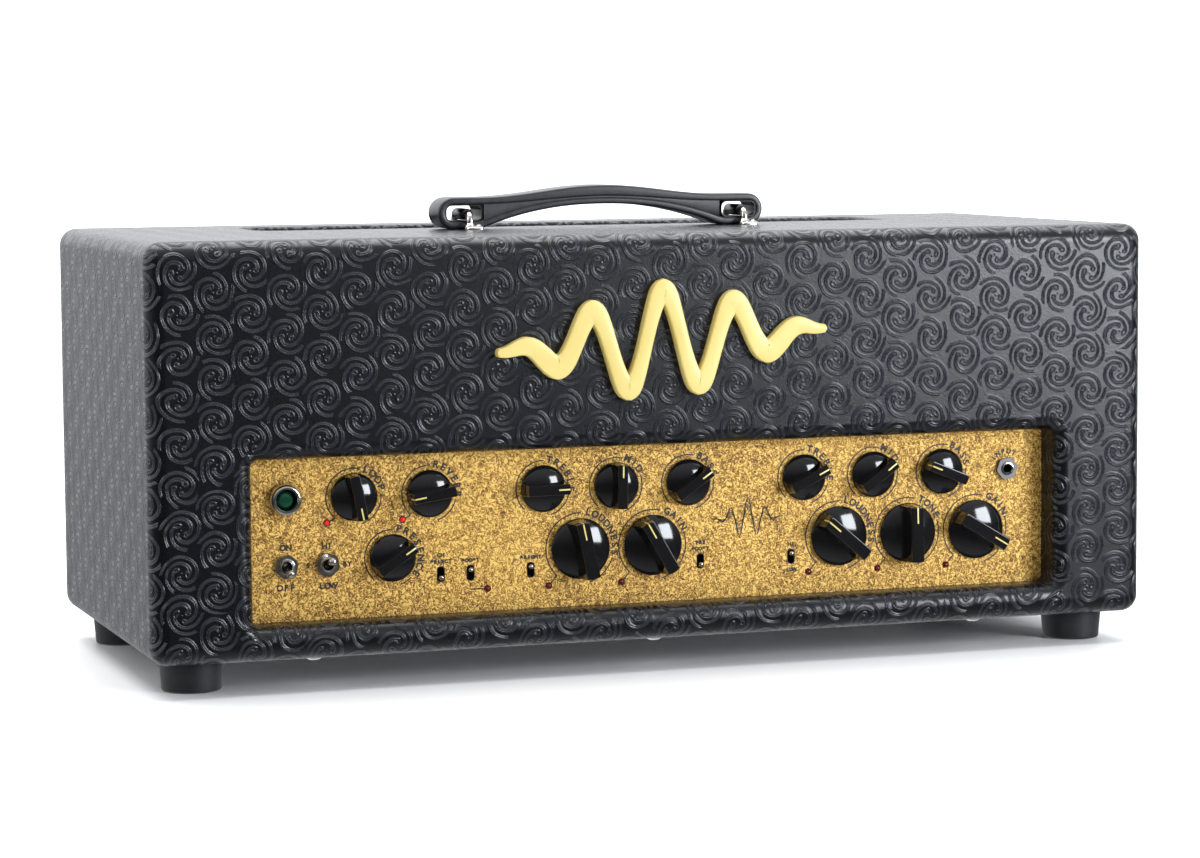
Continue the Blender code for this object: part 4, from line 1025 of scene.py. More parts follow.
def hexagon(bm, across, low, high, bore, x=0.0, y=0.0, turn=0.0):
    """A hexagon nut with chamfered corners. Sizes in millimetres."""
    count = 48
    corner = across / math.sqrt(3)

    def ring(z, reach_of):
        points = []
        for i in range(count):
            angle = 2 * math.pi * i / count
            spoke = Vector((math.cos(angle + turn), math.sin(angle + turn), 0)) * (reach_of(angle) * MM)
            points.append(Vector((x, y, z * MM)) + spoke)
        return points

    def flat(angle):
        return across / 2 / math.cos((angle % (math.pi / 3)) - math.pi / 6)

    chamfers = ((corner * 0.95, low), (corner, low + 0.35), (corner, high - 0.45), (corner * 0.93, high))
    rings = [ring(z, lambda angle: min(flat(angle), limit)) for limit, z in chamfers]
    rings += [ring(z, lambda angle: bore) for z in (high, low)]
    loft(bm, rings, joined=True)


def nut_piece(name, finish, place, across, low, high, bore, turn):
    bm = bmesh.new()
    hexagon(bm, across, low, high, bore, turn=math.radians(turn))
    weight_normals(piece(name, bm, finish, place, sharp=25))


def threads(radius, low, high, pitch=0.75, depth=0.28):
    """A ridged profile that stands for a screw thread."""
    profile = []
    count = int((high - low) / pitch)
    for index in range(count):
        base = low + index * pitch
        profile += [(radius - depth, base), (radius, base + pitch * 0.45), (radius, base + pitch * 0.55)]
    return profile + [(radius - depth, low + count * pitch), (radius - depth * 1.3, high)]


def make_toggle(name, metal, washer_metal, black):
    """A toggle switch: threaded bushing, nut, washer, body with its tags behind the panel, and bat lever."""
    lever = name + "_lever"
    place = on_panel(*centre_of(lever))
    profile = [(3.7, -8)] + threads(5.6, -8, 3.4) + [(4.9, 4.0), (4.2, 4.1), (3.7, 3.7)]
    turned_piece(name + "_bushing", profile, metal, place, 48, True, sharp=30, stands_for=name + "_switch")
    nut_piece(name + "_nut", metal, place, 14.8, 0.9, 2.9, 5.45, 17 if name == "power" else 41)
    profile = ((5.7, 0.25), (7.3, 0.25), (7.3, 0.7), (7.1, 0.9), (5.7, 0.9))
    turned_piece(name + "_washer", profile, washer_metal, place, 48, True, sharp=40)
    bm = bmesh.new()
    case = Vector((6.4, 7.9, 10.6)) * MM
    middle = Vector((0, 0, -15.3)) * MM
    box(bm, middle - case, middle + case, 0.8 * MM)
    for side in (-1, 0, 1):
        tag = Vector((0, side * 5, -28.25)) * MM
        half = Vector((0.6, 1.2, 2.75)) * MM
        box(bm, tag - half, tag + half, 0.2 * MM, 1)
    piece(name + "_body", bm, black, place, sharp=40)
    profile = [(0, -2.4), (1.3, -2.2), (2.3, -0.8), (2.45, 0.2), (2.1, 1.3), (1.55, 2.2), (1.5, 3.4)]
    profile += [(1.6, 6), (1.8, 9), (2.15, 12.2), (2.5, 14.0), (2.62, 15.2), (2.4, 16.2), (1.7, 16.8)]
    profile += [(0.8, 17), (0, 17)]
    place = lever_place(JOINTS[lever], 14)
    turned_piece(name + "_bat", profile, metal, place, 36, body=lever, sharp=50, stands_for=lever)


def make_pilot(metal, green, dark):
    """A pilot lamp: bezel, faceted jewel, and a black ring in the gap between them that paints the shade on
    the bezel's inner wall.
    """
    low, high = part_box("pilot_bezel")
    place = on_panel((low.x + high.x) / 2, (low.z + high.z) / 2)
    profile = [(6.9, -20), (7.9, -20), (7.9, 0.2), (10.6, 0.2), (11, 0.6), (11, 2.0), (10.85, 3.4)]
    profile += [(10.5, 4.6), (9.9, 5.6), (9.1, 6.25), (8.3, 6.5), (7.6, 6.4), (7.2, 6.0), (7.0, 5.2)]
    profile += [(6.9, 3.2)]
    turned_piece("pilot_ring", profile, metal, place, 72, True, sharp=32, stands_for="pilot_bezel")
    bm = bmesh.new()
    sides = 12
    loops = []
    levels = ((6.5, -18.5, 0), (6.5, -0.9, 0), (5.9, 1.3, 0.5), (4.4, 3.1, 0), (2.2, 4.1, 0.5))
    for radius, height, shift in levels:
        ring = circle(radius * MM, height * MM, sides, start=shift * 2 * math.pi / sides)
        loops.append([bm.verts.new(point) for point in ring])
    for level, (near, far) in enumerate(zip(loops, loops[1:])):
        for i in range(sides):
            j = (i + 1) % sides
            if level == 0:
                bm.faces.new((near[i], near[j], far[j], far[i]))
            elif level % 2 == 1:
                bm.faces.new((near[i], near[j], far[i]))
                bm.faces.new((near[j], far[j], far[i]))
            else:
                bm.faces.new((near[i], far[j], far[i]))
                bm.faces.new((near[i], near[j], far[j]))
    bm.faces.new(loops[-1])
    bm.faces.new(loops[0])
    piece("pilot_faceted_jewel", bm, green, place, sharp=1, stands_for="pilot_jewel")
    # Black ring lining the bezel's inner wall: painted shade in the gap round the jewel.
    profile = ((6.6, -19), (6.88, -19), (6.88, 3.4), (6.75, 3.2), (6.65, 1.4), (6.6, 1.0))
    turned_piece("pilot_dark_ring", profile, dark, place, 48, True, sharp=40)


def make_input_jack(metal, nut_metal, black):
    place = on_panel(*centre_of("input_jack"))
    profile = [(3.2, -22)] + threads(4.85, -22, 3.3) + [(4.3, 3.9), (3.7, 4.0), (3.2, 3.5)]
    turned_piece("input_jack_barrel", profile, metal, place, 56, True, sharp=30, stands_for="input_jack")
    nut_piece("input_jack_nut", nut_metal, place, 14.6, 0.8, 2.8, 4.7, 10)
    profile = ((5, 0.2), (7.4, 0.2), (7.4, 0.6), (7.2, 0.8), (5, 0.8))
    turned_piece("input_jack_washer", profile, nut_metal, place, 48, True, sharp=40)
    profile = [(0, -24), (8, -24), (8, -4.7), (4.9, -4.7), (4.9, -22.5), (3.15, -22.4), (3.15, 2.6)]
    turned_piece("input_jack_socket", profile + [(2.9, 2.6), (2.9, -20), (0, -20)], black, place, 40)


def make_lamps(bright, dull, ring_plastic):
    radius = 1.78
    foot, rise = 0.2, 1.5
    profile = [(0, -12.2), (radius, -12.2), (radius, foot)]
    profile += [(radius * math.cos(a), foot + rise * math.sin(a)) for a in (0.3, 0.6, 0.9, 1.2)]
    profile.append((0, foot + rise))
    ring = ((1.8, 0.02), (2.45, 0.02), (2.4, 0.35), (2.15, 0.5), (1.9, 0.4))
    for index, node in enumerate(LAMP_KNOBS + ("lever_boost",)):
        place = on_panel(*lamp_place(node))
        turned_piece(f"lamp_{index}", profile, bright if node in BRIGHT_LAMPS else dull, place, 24, sharp=50)
        turned_piece(f"lamp_ring_{index}", ring, ring_plastic, place, 28, True, sharp=50)


# ---------------------------------------------------------------- badge


BADGE_LENGTH = 231 * MM
BADGE_AMPLITUDE = 33 * MM
BADGE_WAVES = 4.5
BADGE_STROKE = 17 * MM
BADGE_RISE = 0.045
BADGE_TIP = 0.35  # width at its ends as a share of the stroke
BADGE_TOP = 5.2 * MM
BADGE_EDGE = 1.5 * MM
BADGE_POINTS = 260


def badge_height(t):
    burst = math.sin(math.pi * min(max(t, 0), 1)) ** 1.5
    return BADGE_AMPLITUDE * burst * math.sin(2 * math.pi * BADGE_WAVES * t)


def badge_section(t, shrink=1.0, push=0.0):
    """A cross-section of the wavy ribbon at a share of its length, with rounded upper edges."""
    step = 1 / BADGE_POINTS
    x = (t - 0.5) * BADGE_LENGTH
    slope = (badge_height(t + step / 2) - badge_height(t - step / 2)) / (BADGE_LENGTH * step)
    taper = min(1, BADGE_TIP + math.sin(math.pi * t) * 1.6)
    half = BADGE_STROKE / 2 * taper / (1 + 0.18 * abs(slope)) * shrink
    along = Vector((1, slope)).normalized()
    across = Vector((-along.y, along.x))
    middle = Vector((x, badge_height(t) + BADGE_RISE * x)) + along * push
    soft = min(BADGE_EDGE, half * 0.5)
    rows = [(1.0, 0.2 * MM), (1.0, BADGE_TOP)]
    for a in (0.4, 0.8, 1.2, 1.57):
        rows.append((1 - soft * (1 - math.cos(a)) / half, BADGE_TOP + BADGE_EDGE * math.sin(a)))
    rows.append((0.4, 6.95 * MM))
    near = [(*(middle + across * half * share), z) for share, z in rows]
    far = [(*(middle - across * half * share), z) for share, z in rows]
    return near + far[::-1]


def make_badge(cream):
    bm = bmesh.new()
    overhang = BADGE_STROKE / 2 * BADGE_TIP * 0.6
    turns = [math.radians(angle) for angle in (20, 40, 60, 80)]
    rings = [badge_section(0, math.cos(a), -overhang * math.sin(a)) for a in reversed(turns)]
    rings += [badge_section(i / BADGE_POINTS) for i in range(BADGE_POINTS + 1)]
    rings += [badge_section(1, math.cos(a), overhang * math.sin(a)) for a in turns]
    loft(bm, rings)
    centre = Matrix.Translation((-6 * MM, FRONT_Y, BASE_Z + 203 * MM))
    piece("wave_badge", bm, cream, centre @ FACE_OUT, sharp=45, stands_for="badge")


# ---------------------------------------------------------------- handle


HANDLE_HALF_LENGTH = 120.5
HANDLE_WIDTH = 27.0
HANDLE_END_HEIGHT = 22.0
HANDLE_UNDERSIDE = 16.0
HANDLE_LEVEL = 89.0  # half length of the arched stretch
BAND = 5.4  # thickness of the band at its loops


def strap_share(x):
    """1 at the middle of the handle and 0 where its loops start."""
    return 0.5 + 0.5 * math.cos(math.pi * min(1, abs(x) / HANDLE_LEVEL))


def strap_underside(x):
    return HANDLE_UNDERSIDE * (1 - min(1, abs(x) / HANDLE_LEVEL) ** 2.2)


def strap_path():
    """The closed outer path of the handle's band, as (x, z, thickness) in millimetres."""
    end_radius = HANDLE_END_HEIGHT / 2
    straight = HANDLE_HALF_LENGTH - end_radius
    steps = 48
    stations = [straight - 2 * straight * index / steps for index in range(steps + 1)]
    path = []
    for x in stations:
        share = strap_share(x)
        path.append((x, HANDLE_END_HEIGHT + 7.4 * share, BAND + 2.9 * share))
    path += [(x, z, BAND) for x, z in arc((-straight, end_radius), end_radius, 90, 270, 16)[1:-1]]
    path += [(-x, strap_underside(x), BAND - 0.8 * strap_share(x)) for x in stations]
    path += [(x, z, BAND) for x, z in arc((straight, end_radius), end_radius, -90, 90, 16)[1:-1]]
    return path


def make_handle(strap, lining):
    """A band that closes on itself, an inner layer, and a black lining in each of its end loops that paints
    the shade inside them.
    """
    low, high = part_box("handle_strap")
    place = Matrix.Translation(((low.x + high.x) / 2, (low.y + high.y) / 2, low.z))
    path = strap_path()
    rings = []
    for index, (x, z, thickness) in enumerate(path):
        before, after = path[index - 1], path[(index + 1) % len(path)]
        along = Vector((after[0] - before[0], after[1] - before[1])).normalized()
        inward = Vector((-along.y, along.x))
        half = thickness / 2
        section = rounded_outline(
            -HANDLE_WIDTH / 2, HANDLE_WIDTH / 2, -half, half, min(1.7, thickness * 0.32), 4
        )
        middle = Vector((x, z)) + inward * half
        points = [(middle + inward * out, across) for across, out in section]
        rings.append([Vector((point.x, across, point.y)) * MM for point, across in points])
    bm = bmesh.new()
    loft(bm, rings, joined=True)
    piece("handle_outer_strap", bm, strap, place, "handle", 50, "handle_strap")
    rings = []
    steps = 40
    overlap = 0.8
    for index in range(steps + 1):
        x = -87.5 + 175 * index / steps
        share = strap_share(x)
        top = HANDLE_END_HEIGHT + 7.4 * share - (BAND + 2.9 * share) + overlap
        bottom = strap_underside(x) + (BAND - 0.8 * share) - overlap
        outline = rounded_outline(-13.3, 13.3, bottom, top, min(0.6, (top - bottom) * 0.35), 3)
        rings.append([Vector((x, across, z)) * MM for across, z in outline])
    bm = bmesh.new()
    loft(bm, rings)
    piece("handle_inner_strap", bm, strap, place, "handle", 50)
    # Black linings in the end loops: painted shade inside the loops.
    half_width = 13.2
    for side, label in ((-1, "left"), (1, "right")):
        middle = side * (HANDLE_HALF_LENGTH - 18.5)
        level = HANDLE_END_HEIGHT / 2
        rings = []
        for half_x, half_z, ends in ((13, 5.55, (-1, 1)), (12.6, 5.15, (1, -1))):
            low_z, high_z = level - half_z, level + half_z
            outline = rounded_outline(middle - half_x, middle + half_x, low_z, high_z, half_z * 0.7, 8)
            rings += [[Vector((x, end * half_width, z)) * MM for x, z in outline] for end in ends]
        bm = bmesh.new()
        loft(bm, rings, joined=True)
        piece(f"handle_loop_lining_{label}", bm, lining, place, "handle", 50, slot="strap")


def make_bracket(label, metal, screw_metal, black):
    """A bent bar with collars and a black sleeve, on two screwed feet; the sleeve paints the shade inside the
    strap's loop.
    """
    name = "handle_bracket_"
    low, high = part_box(name + label)
    x = -102 * MM if label == "left" else 102 * MM
    place = Matrix.Translation((x, (low.y + high.y) / 2, TOP_Z))
    span, top, bend = 18.5, 10.5, 4.5
    path = [(-span, 0.6), (-span, 3)] + arc((-span + bend, top - bend), bend, 180, 90, 8)
    path += arc((span - bend, top - bend), bend, 90, 0, 8) + [(span, 3), (span, 0.6)]
    turn = Matrix.Translation((0, 0, top * MM)) @ Matrix.Rotation(math.radians(90), 4, "X")
    # Black sleeve round the bar: painted shade that darkens the inside of the strap's loop.
    profile = ((2.5, -12.6), (3.7, -12.6), (4.0, -12.2), (4.0, 12.2), (3.7, 12.6), (2.5, 12.6))
    turned_piece(f"{name}sleeve_{label}", profile, black, place @ turn, 32, True, sharp=40)
    bm = bmesh.new()
    tube(bm, [(0, y * MM, z * MM) for y, z in path], 2.45 * MM, 20)
    collar = ((0, 0.4), (3.9, 0.4), (3.9, 2.6), (3.5, 3.2), (2.6, 4.4), (0, 4.4))
    for side in (-1, 1):
        turned(bm, collar, 32, 0, side * span * MM)
    piece(f"{name}bar_{label}", bm, metal, place, sharp=40, stands_for=name + label)
    feet = bmesh.new()
    screws = bmesh.new()
    for side in (-1, 1):
        middle = side * (span + 1) * MM
        steps = ((0, 0.3), (0, 1.3), (0.25, 1.75), (0.8, 2.0))
        rings = [(6.5 - inset, 4.5 - inset, z, 3) for inset, z in steps]
        loft(feet, plates(rings, 6, 3 * MM, middle))
        pan_screw(screws, 6 * MM, middle, 1.4 * MM, 2.2)
    piece(f"{name}feet_{label}", feet, metal, place, sharp=40)
    piece(f"{name}screws_{label}", screws, screw_metal, place, sharp=40)


# ---------------------------------------------------------------- feet and bolts


def make_foot(node, rubber_finish, metal):
    low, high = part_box(node)
    place = Matrix.Translation(((low.x + high.x) / 2, (low.y + high.y) / 2, 0))
    profile = [(0, 6.0), (6.5, 6.0), (6.8, 0.4), (7.4, 0.0), (17.6, 0.0)]
    profile += arc((18.2, 1.8), 1.8, -90, 0, 6) + [(20.3, 6), (20.9, 13), (21.4, 18.6)]
    profile += arc((20.2, 20.0), 1.2, 0, 90, 5) + [(0, 21.2)]
    turned_piece(node + "_rubber", profile, rubber_finish, place, 72, stands_for=node)
    profile = ((0, 5.9), (6.2, 5.9), (6.2, 5.1), (4.2, 5.0), (3.9, 3.8), (2.4, 3.2), (0, 3.1))
    turned_piece(node + "_screw", profile, metal, place, 32, sharp=40)


def make_chassis_bolt(node, metal, washer_metal):
    low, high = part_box(node)
    place = Matrix.Translation(((low.x + high.x) / 2, (low.y + high.y) / 2, BASE_Z))
    profile = [(0, -3.6), (1.6, -3.6), (1.9, -5.0), (3.2, -4.95), (4.6, -4.3), (5.4, -3.2), (5.5, -1.9)]
    profile += [(3, -1.8)] + threads(3, -1.8, 24.2) + [(0, 24.3)]
    turned_piece(node + "_screw", profile, metal, place, 36, sharp=40, stands_for=node)
    profile = [(3.1, -0.35), (11.6, -0.35), (12, -0.6), (12, -1.3), (11.7, -1.7), (6.5, -1.8), (5.8, -1.85)]
    turned_piece(node + "_cup_washer", profile + [(3.1, -1.85)], washer_metal, place, 48, True, sharp=40)


# label of each jack on the chassis back, by its distance from the middle in millimetres
OUTPUT_JACKS = {60: "8", 85: "8", 110: "16", 160: "IN", 185: "OUT"}


def make_fuse_holder(black, place, x):
    """A flange and a knurled cap."""
    bm = bmesh.new()
    turned(bm, ((0, 0.2), (8.2, 0.2), (8.2, 2.6), (7.6, 3.2), (6.6, 3.2)), 36, x, 0)
    knurls = 24
    for rib in circle(6.4 * MM, 0, knurls, x):
        turned(bm, ((0, 3.0), (0.8, 3.0), (0.8, 10.2), (0.5, 10.8), (0, 10.8)), 8, rib.x, rib.y)
    turned(bm, ((0, 3.0), (6.5, 3.0), (6.5, 10.6), (5.9, 11.2), (0, 11.2)), 36, x, 0)
    piece("fuse_holder", bm, black, place)


# ---------------------------------------------------------------- chassis rear and inside


def make_chassis_back(metal, screw_metal, black):
    """Jack nuts, inlet, fuse holder and print on the chassis back."""
    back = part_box("chassis")[1].y
    inlet_low, inlet_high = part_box("mains_inlet")
    row = (inlet_low.z + inlet_high.z) / 2
    place = Matrix.Translation((0, back, row)) @ FACE_BACK
    bm = bmesh.new()
    for x in OUTPUT_JACKS:
        profile = [(3.3, -15)] + threads(5.75, -3, 3.0) + [(4.8, 3.4), (3.9, 3.4), (3.3, 2.9)]
        turned(bm, profile, 40, -x * MM, 0, True)
        hexagon(bm, 13.2, 0.3, 2.4, 5.6, -x * MM, 0)
    piece("output_jack_nuts", bm, metal, place, sharp=28)
    x = -(inlet_low.x + inlet_high.x) / 2
    rings = ((22, 15, 0.3, 3), (22, 15, 1.8, 3), (21.4, 14.4, 2.5, 3), (12.8, 9.4, 2.5, 3.4))
    rings += ((12.3, 8.9, 2.0, 3.4), (12.0, 8.6, -16, 3.4), (3, 3, -16.1, 2.4))
    bm = bmesh.new()
    loft(bm, plates(rings, 6, x))
    middle = Vector((x, 0, -20.1 * MM))
    half = Vector((13.6, 10.6, 3.9)) * MM
    box(bm, middle - half, middle + half, 0.8 * MM)
    piece("mains_inlet_shell", bm, black, place, stands_for="mains_inlet")
    bm = bmesh.new()
    half = Vector((1, 2, 7.75)) * MM
    for pin_x, pin_z in ((0, 2.6), (-7, -2.6), (7, -2.6)):
        middle = Vector((x + pin_x * MM, pin_z * MM, -8.75 * MM))
        box(bm, middle - half, middle + half, 0.4 * MM)
    piece("mains_inlet_pins", bm, metal, place)
    bm = bmesh.new()
    for side in (-1, 1):
        pan_screw(bm, x + side * 18 * MM, 0, 1.4 * MM, 2.4)
    piece("mains_inlet_screws", bm, screw_metal, place)
    fuse_x = x - 42 * MM
    make_fuse_holder(black, place, fuse_x)
    bm = bmesh.new()
    for screw_x in (-200, -120, 0, 120, 230):
        pan_screw(bm, screw_x * MM, 43 * MM, 0.2 * MM, 2.6)
    piece("chassis_back_screws", bm, screw_metal, place)
    bm = bmesh.new()
    for jack_x, label in OUTPUT_JACKS.items():
        add_word(bm, label, -jack_x * MM, 14 * MM, 5 * MM)
    add_word(bm, "FUSE", fuse_x, 14 * MM, 5 * MM)
    piece("rear_print", bm, black, Matrix.Translation((0, back + 0.05 * MM, row)) @ FACE_BACK)


def make_valve(node, glass, black, metal):
    """A socket, a glass envelope and its electrodes: tall for a power valve, short for a preamp valve."""
    low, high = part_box(node)
    place = Matrix.Translation(((low.x + high.x) / 2, (low.y + high.y) / 2, low.z))
    big = node.startswith("power")
    radius, height, base = (16.4, 99.0, 17.0) if big else (10.6, 54.0, 8.0)
    rim = radius + 0.4
    profile = [(0, 0), (rim - 0.1, 0), (rim, 0.8), (rim, base - 1), (radius - 0.6, base), (0, base)]
    turned_piece(node + "_base", profile, black, place, stands_for=node)
    shoulder = radius * 0.95
    dome = shoulder * 1.2
    profile = [(0, base + 0.2), (shoulder, base), (radius, base + 4), (radius, height - shoulder * 1.25)]
    for a in (0.25, 0.5, 0.75, 1.0, 1.25):
        profile.append((shoulder * math.cos(a) ** 0.8, height - dome + (dome - 2.2) * math.sin(a)))
    profile += [(2.2, height - 2.6), (1.2, height - 0.6), (0, height - 0.2)]
    turned_piece(node + "_envelope", profile, glass, place, sharp=60)
    plate_low = base + (6 if big else 3)
    plate_high = height - (30 if big else 16)
    half = radius * 0.62
    bm = bmesh.new()
    loft(bm, plates([(half, half * 0.6, z, half * 0.3) for z in (plate_low, plate_high)], 5))
    mica = radius * 0.86
    for z in (plate_low - 0.6, plate_high + 0.2):
        turned(bm, ((0, z), (mica, z), (mica, z + 0.6), (0, z + 0.6)), 32)
    post_top = plate_high + 3
    for side in (-1, 1):
        turned(bm, ((0, base), (0.6, base), (0.6, post_top), (0, post_top)), 10, side * half * 0.6 * MM, 0)
    piece(node + "_electrodes", bm, metal, place)


def make_transformer(node, steel, black, metal):
    """A stack of laminations with a bell cover on each side, held by four bolts."""
    low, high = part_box(node)
    width, depth, height = high - low
    core_half = 22 * MM if width > 0.08 else 18 * MM
    place = Matrix.Translation(((low.x + high.x) / 2, (low.y + high.y) / 2, low.z))
    bm = bmesh.new()
    layers = 22
    for index in range(layers):
        y = -core_half + 2 * core_half * index / layers
        inset = 0.25 * MM if index % 2 else 0
        low_corner = (inset - width / 2, y, inset)
        box(bm, low_corner, (width / 2 - inset, y + 2 * core_half / layers, height - inset))
    piece(node + "_laminations", bm, steel, place, stands_for=node)
    bm = bmesh.new()
    reach = depth / 2
    bell = (
        (core_half + 0.2 * MM, 2, 3),
        (core_half + 1.4 * MM, 2, 3),
        (core_half + 1.6 * MM, 7, 5),
        (reach - 6 * MM, 8.5, 6),
        (reach - 2 * MM, 11, 8),
        (reach, 16, 8),
    )  # distance from the middle, then inset and corner radius in millimetres
    for side in (-1, 1):
        rings = []
        for y, inset, corner in bell:
            edge = inset * MM
            outline = rounded_outline(edge - width / 2, width / 2 - edge, edge, height - edge, corner * MM, 5)
            rings.append([Vector((x, side * y, z)) for x, z in outline])
        loft(bm, rings)
    piece(node + "_bells", bm, black, place)
    bm = bmesh.new()
    face = core_half / MM
    end = face + 5
    for side in (-1, 1):
        x = side * (width / 2 - 5 * MM)
        for z in (5 * MM, height - 5 * MM):
            turned(bm, ((0, -end), (1.9, -end), (1.9, end), (0, end)), 16, x, z)
            hexagon(bm, 7, face + 1.6, face + 4.4, 1.8, x, z)
    piece(node + "_bolts", bm, metal, place @ FACE_OUT @ Matrix.Scale(-1, 4, (0, 0, 1)), sharp=30)


def make_reverb_tank(finish):
    """A shallow tray with pressed ribs, screwed to the back board."""
    low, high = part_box("reverb_tank")
    bm = bmesh.new()
    box(bm, low + Vector((2, 0.2, 2)) * MM, high - Vector((2, 1.4, 2)) * MM, 1.5 * MM)
    box(bm, (low.x, high.y - 1.4 * MM, low.z), (high.x, high.y - 0.2 * MM, high.z), 0.5 * MM)
    ribs = 5
    for index in range(ribs):
        x = low.x + (high.x - low.x) * (index + 1) / (ribs + 1)
        low_corner = (x - 4 * MM, high.y - 0.6 * MM, low.z + 12 * MM)
        box(bm, low_corner, (x + 4 * MM, high.y - 0.02 * MM, high.z - 12 * MM), 0.25 * MM)
    piece("reverb_tank_case", bm, finish, sharp=40, stands_for="reverb_tank")


# ---------------------------------------------------------------- studio


def make_floor():
    """A floor that curves up into a backdrop far behind, left out of mirror reflections."""
    made = Finish("studio_floor", (0.9, 0.9, 0.9), 0.6)
    made.set("Roughness", made.noise(5) * 0.1 + 0.45)
    bm = bmesh.new()
    near_y, far_y, radius, height, half_width = -9.0, 4.0, 2.2, 6.0, 12.0
    rows = [(near_y, 0.0), (far_y, 0.0)]
    rows += [(far_y + y, radius + z) for y, z in arc((0, 0), radius, -90, 0, 16)] + [(far_y + radius, height)]
    points = [[bm.verts.new((x, y, z)) for x in (-half_width, half_width)] for y, z in rows]
    for near, far in zip(points, points[1:]):
        bm.faces.new((near[0], near[1], far[1], far[0]))
    mesh = bpy.data.meshes.new("studio_floor")
    bm.to_mesh(mesh)
    bm.free()
    mesh.shade_smooth()
    mesh.materials.append(made.material)
    floor = bpy.data.objects.new("studio_floor", mesh)
    bpy.context.scene.collection.objects.link(floor)
    floor.visible_glossy = False


def make_light(name, place, aim, size, power, colour=(1, 1, 1)):
    data = bpy.data.lights.new(name, "AREA")
    data.shape = "RECTANGLE"
    data.size, data.size_y = size
    data.energy = power
    data.color = colour
    light = bpy.data.objects.new(name, data)
    light.location = place
    light.rotation_euler = (Vector(aim) - Vector(place)).to_track_quat("-Z", "Y").to_euler()
    bpy.context.scene.collection.objects.link(light)


def make_world():
    """White behind and above the object and dim in front of it, but white all round to the camera."""
    world = bpy.data.worlds.new("studio")
    world.use_nodes = True
    tree = world.node_tree
    background = tree.nodes["Background"]
    coordinates = tree.nodes.new("ShaderNodeTexCoord")
    split = tree.nodes.new("ShaderNodeSeparateXYZ")
    tree.links.new(coordinates.outputs["Generated"], split.inputs[0])
    behind = Value(tree, split.outputs[1])
    above = Value(tree, split.outputs[2])
    below = (above * -1.0 - 0.3).clamped()
    lift = ((above + 0.1) * 4.0).clamped() * 0.75 + 0.62
    strength = ((behind + 0.1) * 1.6).clamped() * lift + above.clamped() * 0.9 + below * 0.8 + 0.05
    seen = Value(tree, tree.nodes.new("ShaderNodeLightPath").outputs["Is Camera Ray"])
    strength = strength.apply("MAXIMUM", seen * 1.3)
    tree.links.new(strength.source, background.inputs["Strength"])
    background.inputs["Color"].default_value = (0.95, 0.97, 1.0, 1.0)
    bpy.context.scene.world = world


def make_camera():
    data = bpy.data.cameras.new("camera")
    data.lens = 105.7
    data.sensor_width = 36
    data.clip_end = 50
    camera = bpy.data.objects.new("camera", data)
    bpy.context.scene.collection.objects.link(camera)
    yaw, pitch, roll = math.radians(19.003), math.radians(5.185), math.radians(-0.406)
    forward = Vector((math.sin(yaw) * math.cos(pitch), math.cos(yaw) * math.cos(pitch), -math.sin(pitch)))
    right = Vector((math.cos(yaw), -math.sin(yaw), 0))
    up = right.cross(forward)
    side = right * math.cos(roll) + up * math.sin(roll)
    top = up * math.cos(roll) - right * math.sin(roll)
    turn = Matrix((side, top, -forward)).transposed()
    camera.matrix_world = Matrix.Translation((-0.81357, -2.36899, 0.37896)) @ turn.to_4x4()
    bpy.context.scene.camera = camera


def make_studio():
    make_floor()
    make_world()
    make_light("key", (1.3, -1.7, 0.56), (0.0, 0, 0.15), (0.8, 0.85), 43, (0.9, 0.94, 1.0))
    make_light("fill", (-3.0, -0.6, 1.3), (0, 0, 0.15), (1.0, 1.6), 18)
    make_light("top", (0, 0.25, 1.8), (0, 0.1, 0), (2.4, 1.5), 52)
    make_light("back", (0.5, 4.2, 2.6), (0.5, 5.5, 1.5), (7.0, 2.5), 240)
    bpy.context.scene.view_settings.view_transform = "Standard"


# ---------------------------------------------------------------- assembly


def repaint(finish, *nodes):
    """Gives CAD nodes that stay visible their finish."""
    for node in nodes:
        mesh = NODES[node].data
        mesh.materials.clear()
        mesh.materials.append(finish.material)
        mesh.shade_smooth()
        mesh.set_sharp_from_angle(angle=math.radians(30))


def make_controls(bright_metal, dull_metal, black_plastic):
    gloss = gloss_black("gloss_black_plastic", "knob_plastic", 0.09)
    pointer = cream_plastic("knob_plastic")
    for node in KNOBS:
        make_knob(node, gloss, pointer, dull_metal)
    for node in SLOT_WORDS:
        make_slot_lever(node, bright_metal, black_plastic)
    for name in ("power", "standby"):
        make_toggle(name, bright_metal, dull_metal, black_plastic)
    make_pilot(bright_metal, clear_glass("green_jewel", (0.004, 0.065, 0.03), 0.03, 0.4), black_plastic)
    # The jack's nut and washer take a darker copy of the nickel: painted shade on them.
    make_input_jack(bright_metal, nickel("brushed_nickel", (0.2, 0.195, 0.19), 0.5), black_plastic)
    bright_red = lamp_red("red_lamp", (0.75, 0.02, 0.02), 0.35)
    dull_red = lamp_red("dark_red_lamp", (0.2, 0.008, 0.008), 0.02)
    make_lamps(bright_red, dull_red, black_plastic)


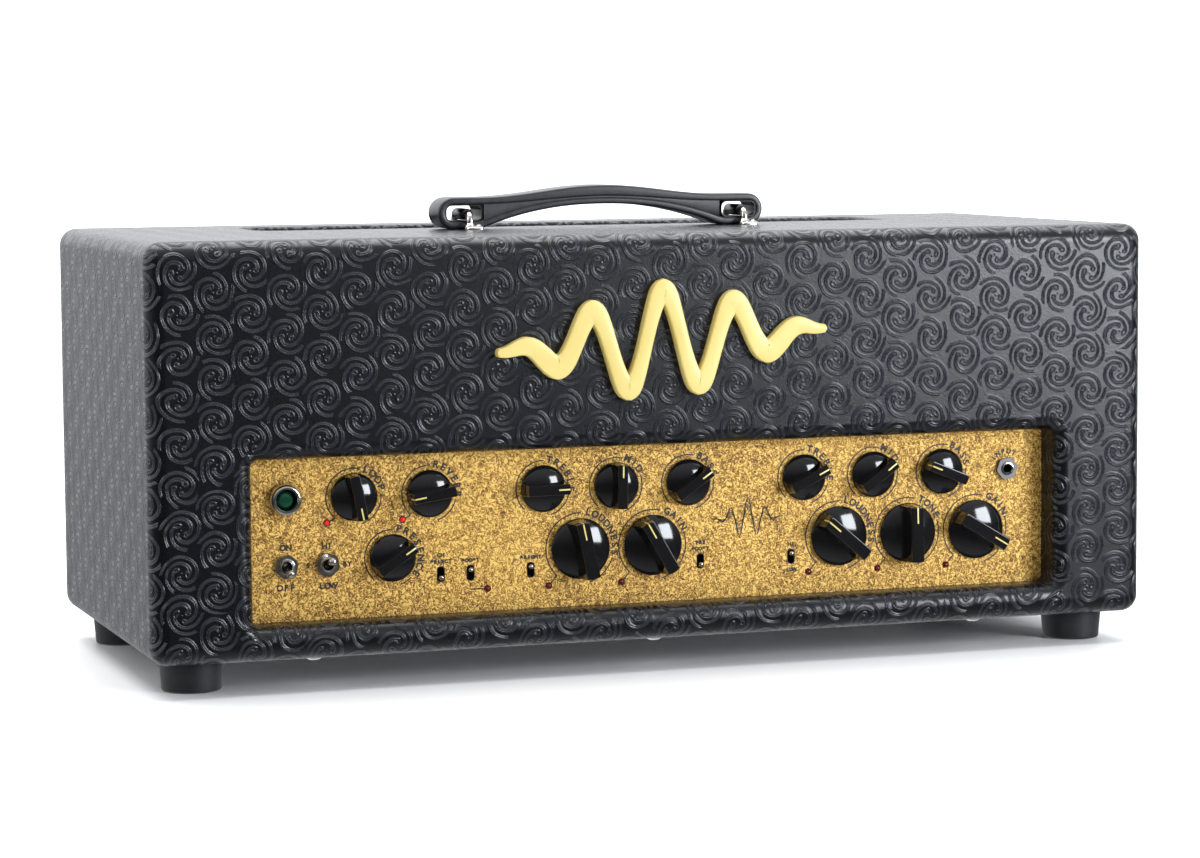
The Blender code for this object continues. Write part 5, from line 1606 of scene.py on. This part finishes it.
def make_electronics(black_sheet, dull_metal, black_plastic):
    glass = clear_glass("valve_glass", (0.9, 0.92, 0.9), 0.02, 0.95)
    electrode = sheet_metal("blackened_nickel", (0.16, 0.16, 0.17), 0.4, 0.8)
    valves = [f"power_valve_{number}" for number in range(1, 5)]
    valves += [f"preamp_valve_{number}" for number in range(1, 4)]
    for node in valves:
        make_valve(node, glass, black_plastic, electrode)
    lamination = sheet_metal("lamination_steel", (0.12, 0.12, 0.13), 0.5, 0.7)
    for node in ("power_transformer", "output_transformer"):
        make_transformer(node, lamination, black_sheet, dull_metal)
    make_reverb_tank(black_sheet)


def main():
    vinyl = covering()
    bright_metal = nickel("nickel", (0.76, 0.73, 0.68), 0.14)
    dull_metal = nickel("dull_nickel", (0.55, 0.53, 0.5), 0.3)
    zinc = sheet_metal("zinc_plated_steel", (0.6, 0.61, 0.62), 0.36, 1.0)
    black_sheet = sheet_metal("black_painted_sheet", (0.018, 0.018, 0.02), 0.5, 0.2, "black_metal")
    black_plastic = gloss_black("black_plastic", "black_metal", 0.32)

    make_badge(cream_plastic("cream_plastic"))
    make_cover(vinyl)
    make_vent_lip(vinyl)
    make_top_grille(black_sheet)
    make_back(vinyl, black_sheet, dull_metal)
    repaint(plywood(), "cabinet_carcass", "front_board")
    repaint(gold_paint(), "control_panel")
    repaint(zinc, "chassis", "output_jack_board")
    repaint(circuit_board(), "control_board")
    make_print(print_ink())
    make_controls(bright_metal, dull_metal, black_plastic)
    make_handle(strap_vinyl(), black_plastic)
    for label in ("left", "right"):
        make_bracket(label, bright_metal, dull_metal, black_plastic)
    foot_rubber = rubber()
    for corner in ("front_left", "front_right", "back_left", "back_right"):
        make_foot("foot_" + corner, foot_rubber, dull_metal)
    for place in ("front_left", "front_middle", "front_right", "back_left", "back_right"):
        make_chassis_bolt("chassis_bolt_" + place, bright_metal, dull_metal)
    make_chassis_back(bright_metal, dull_metal, black_plastic)
    make_electronics(black_sheet, dull_metal, black_plastic)
    make_studio()
    make_camera()


main()
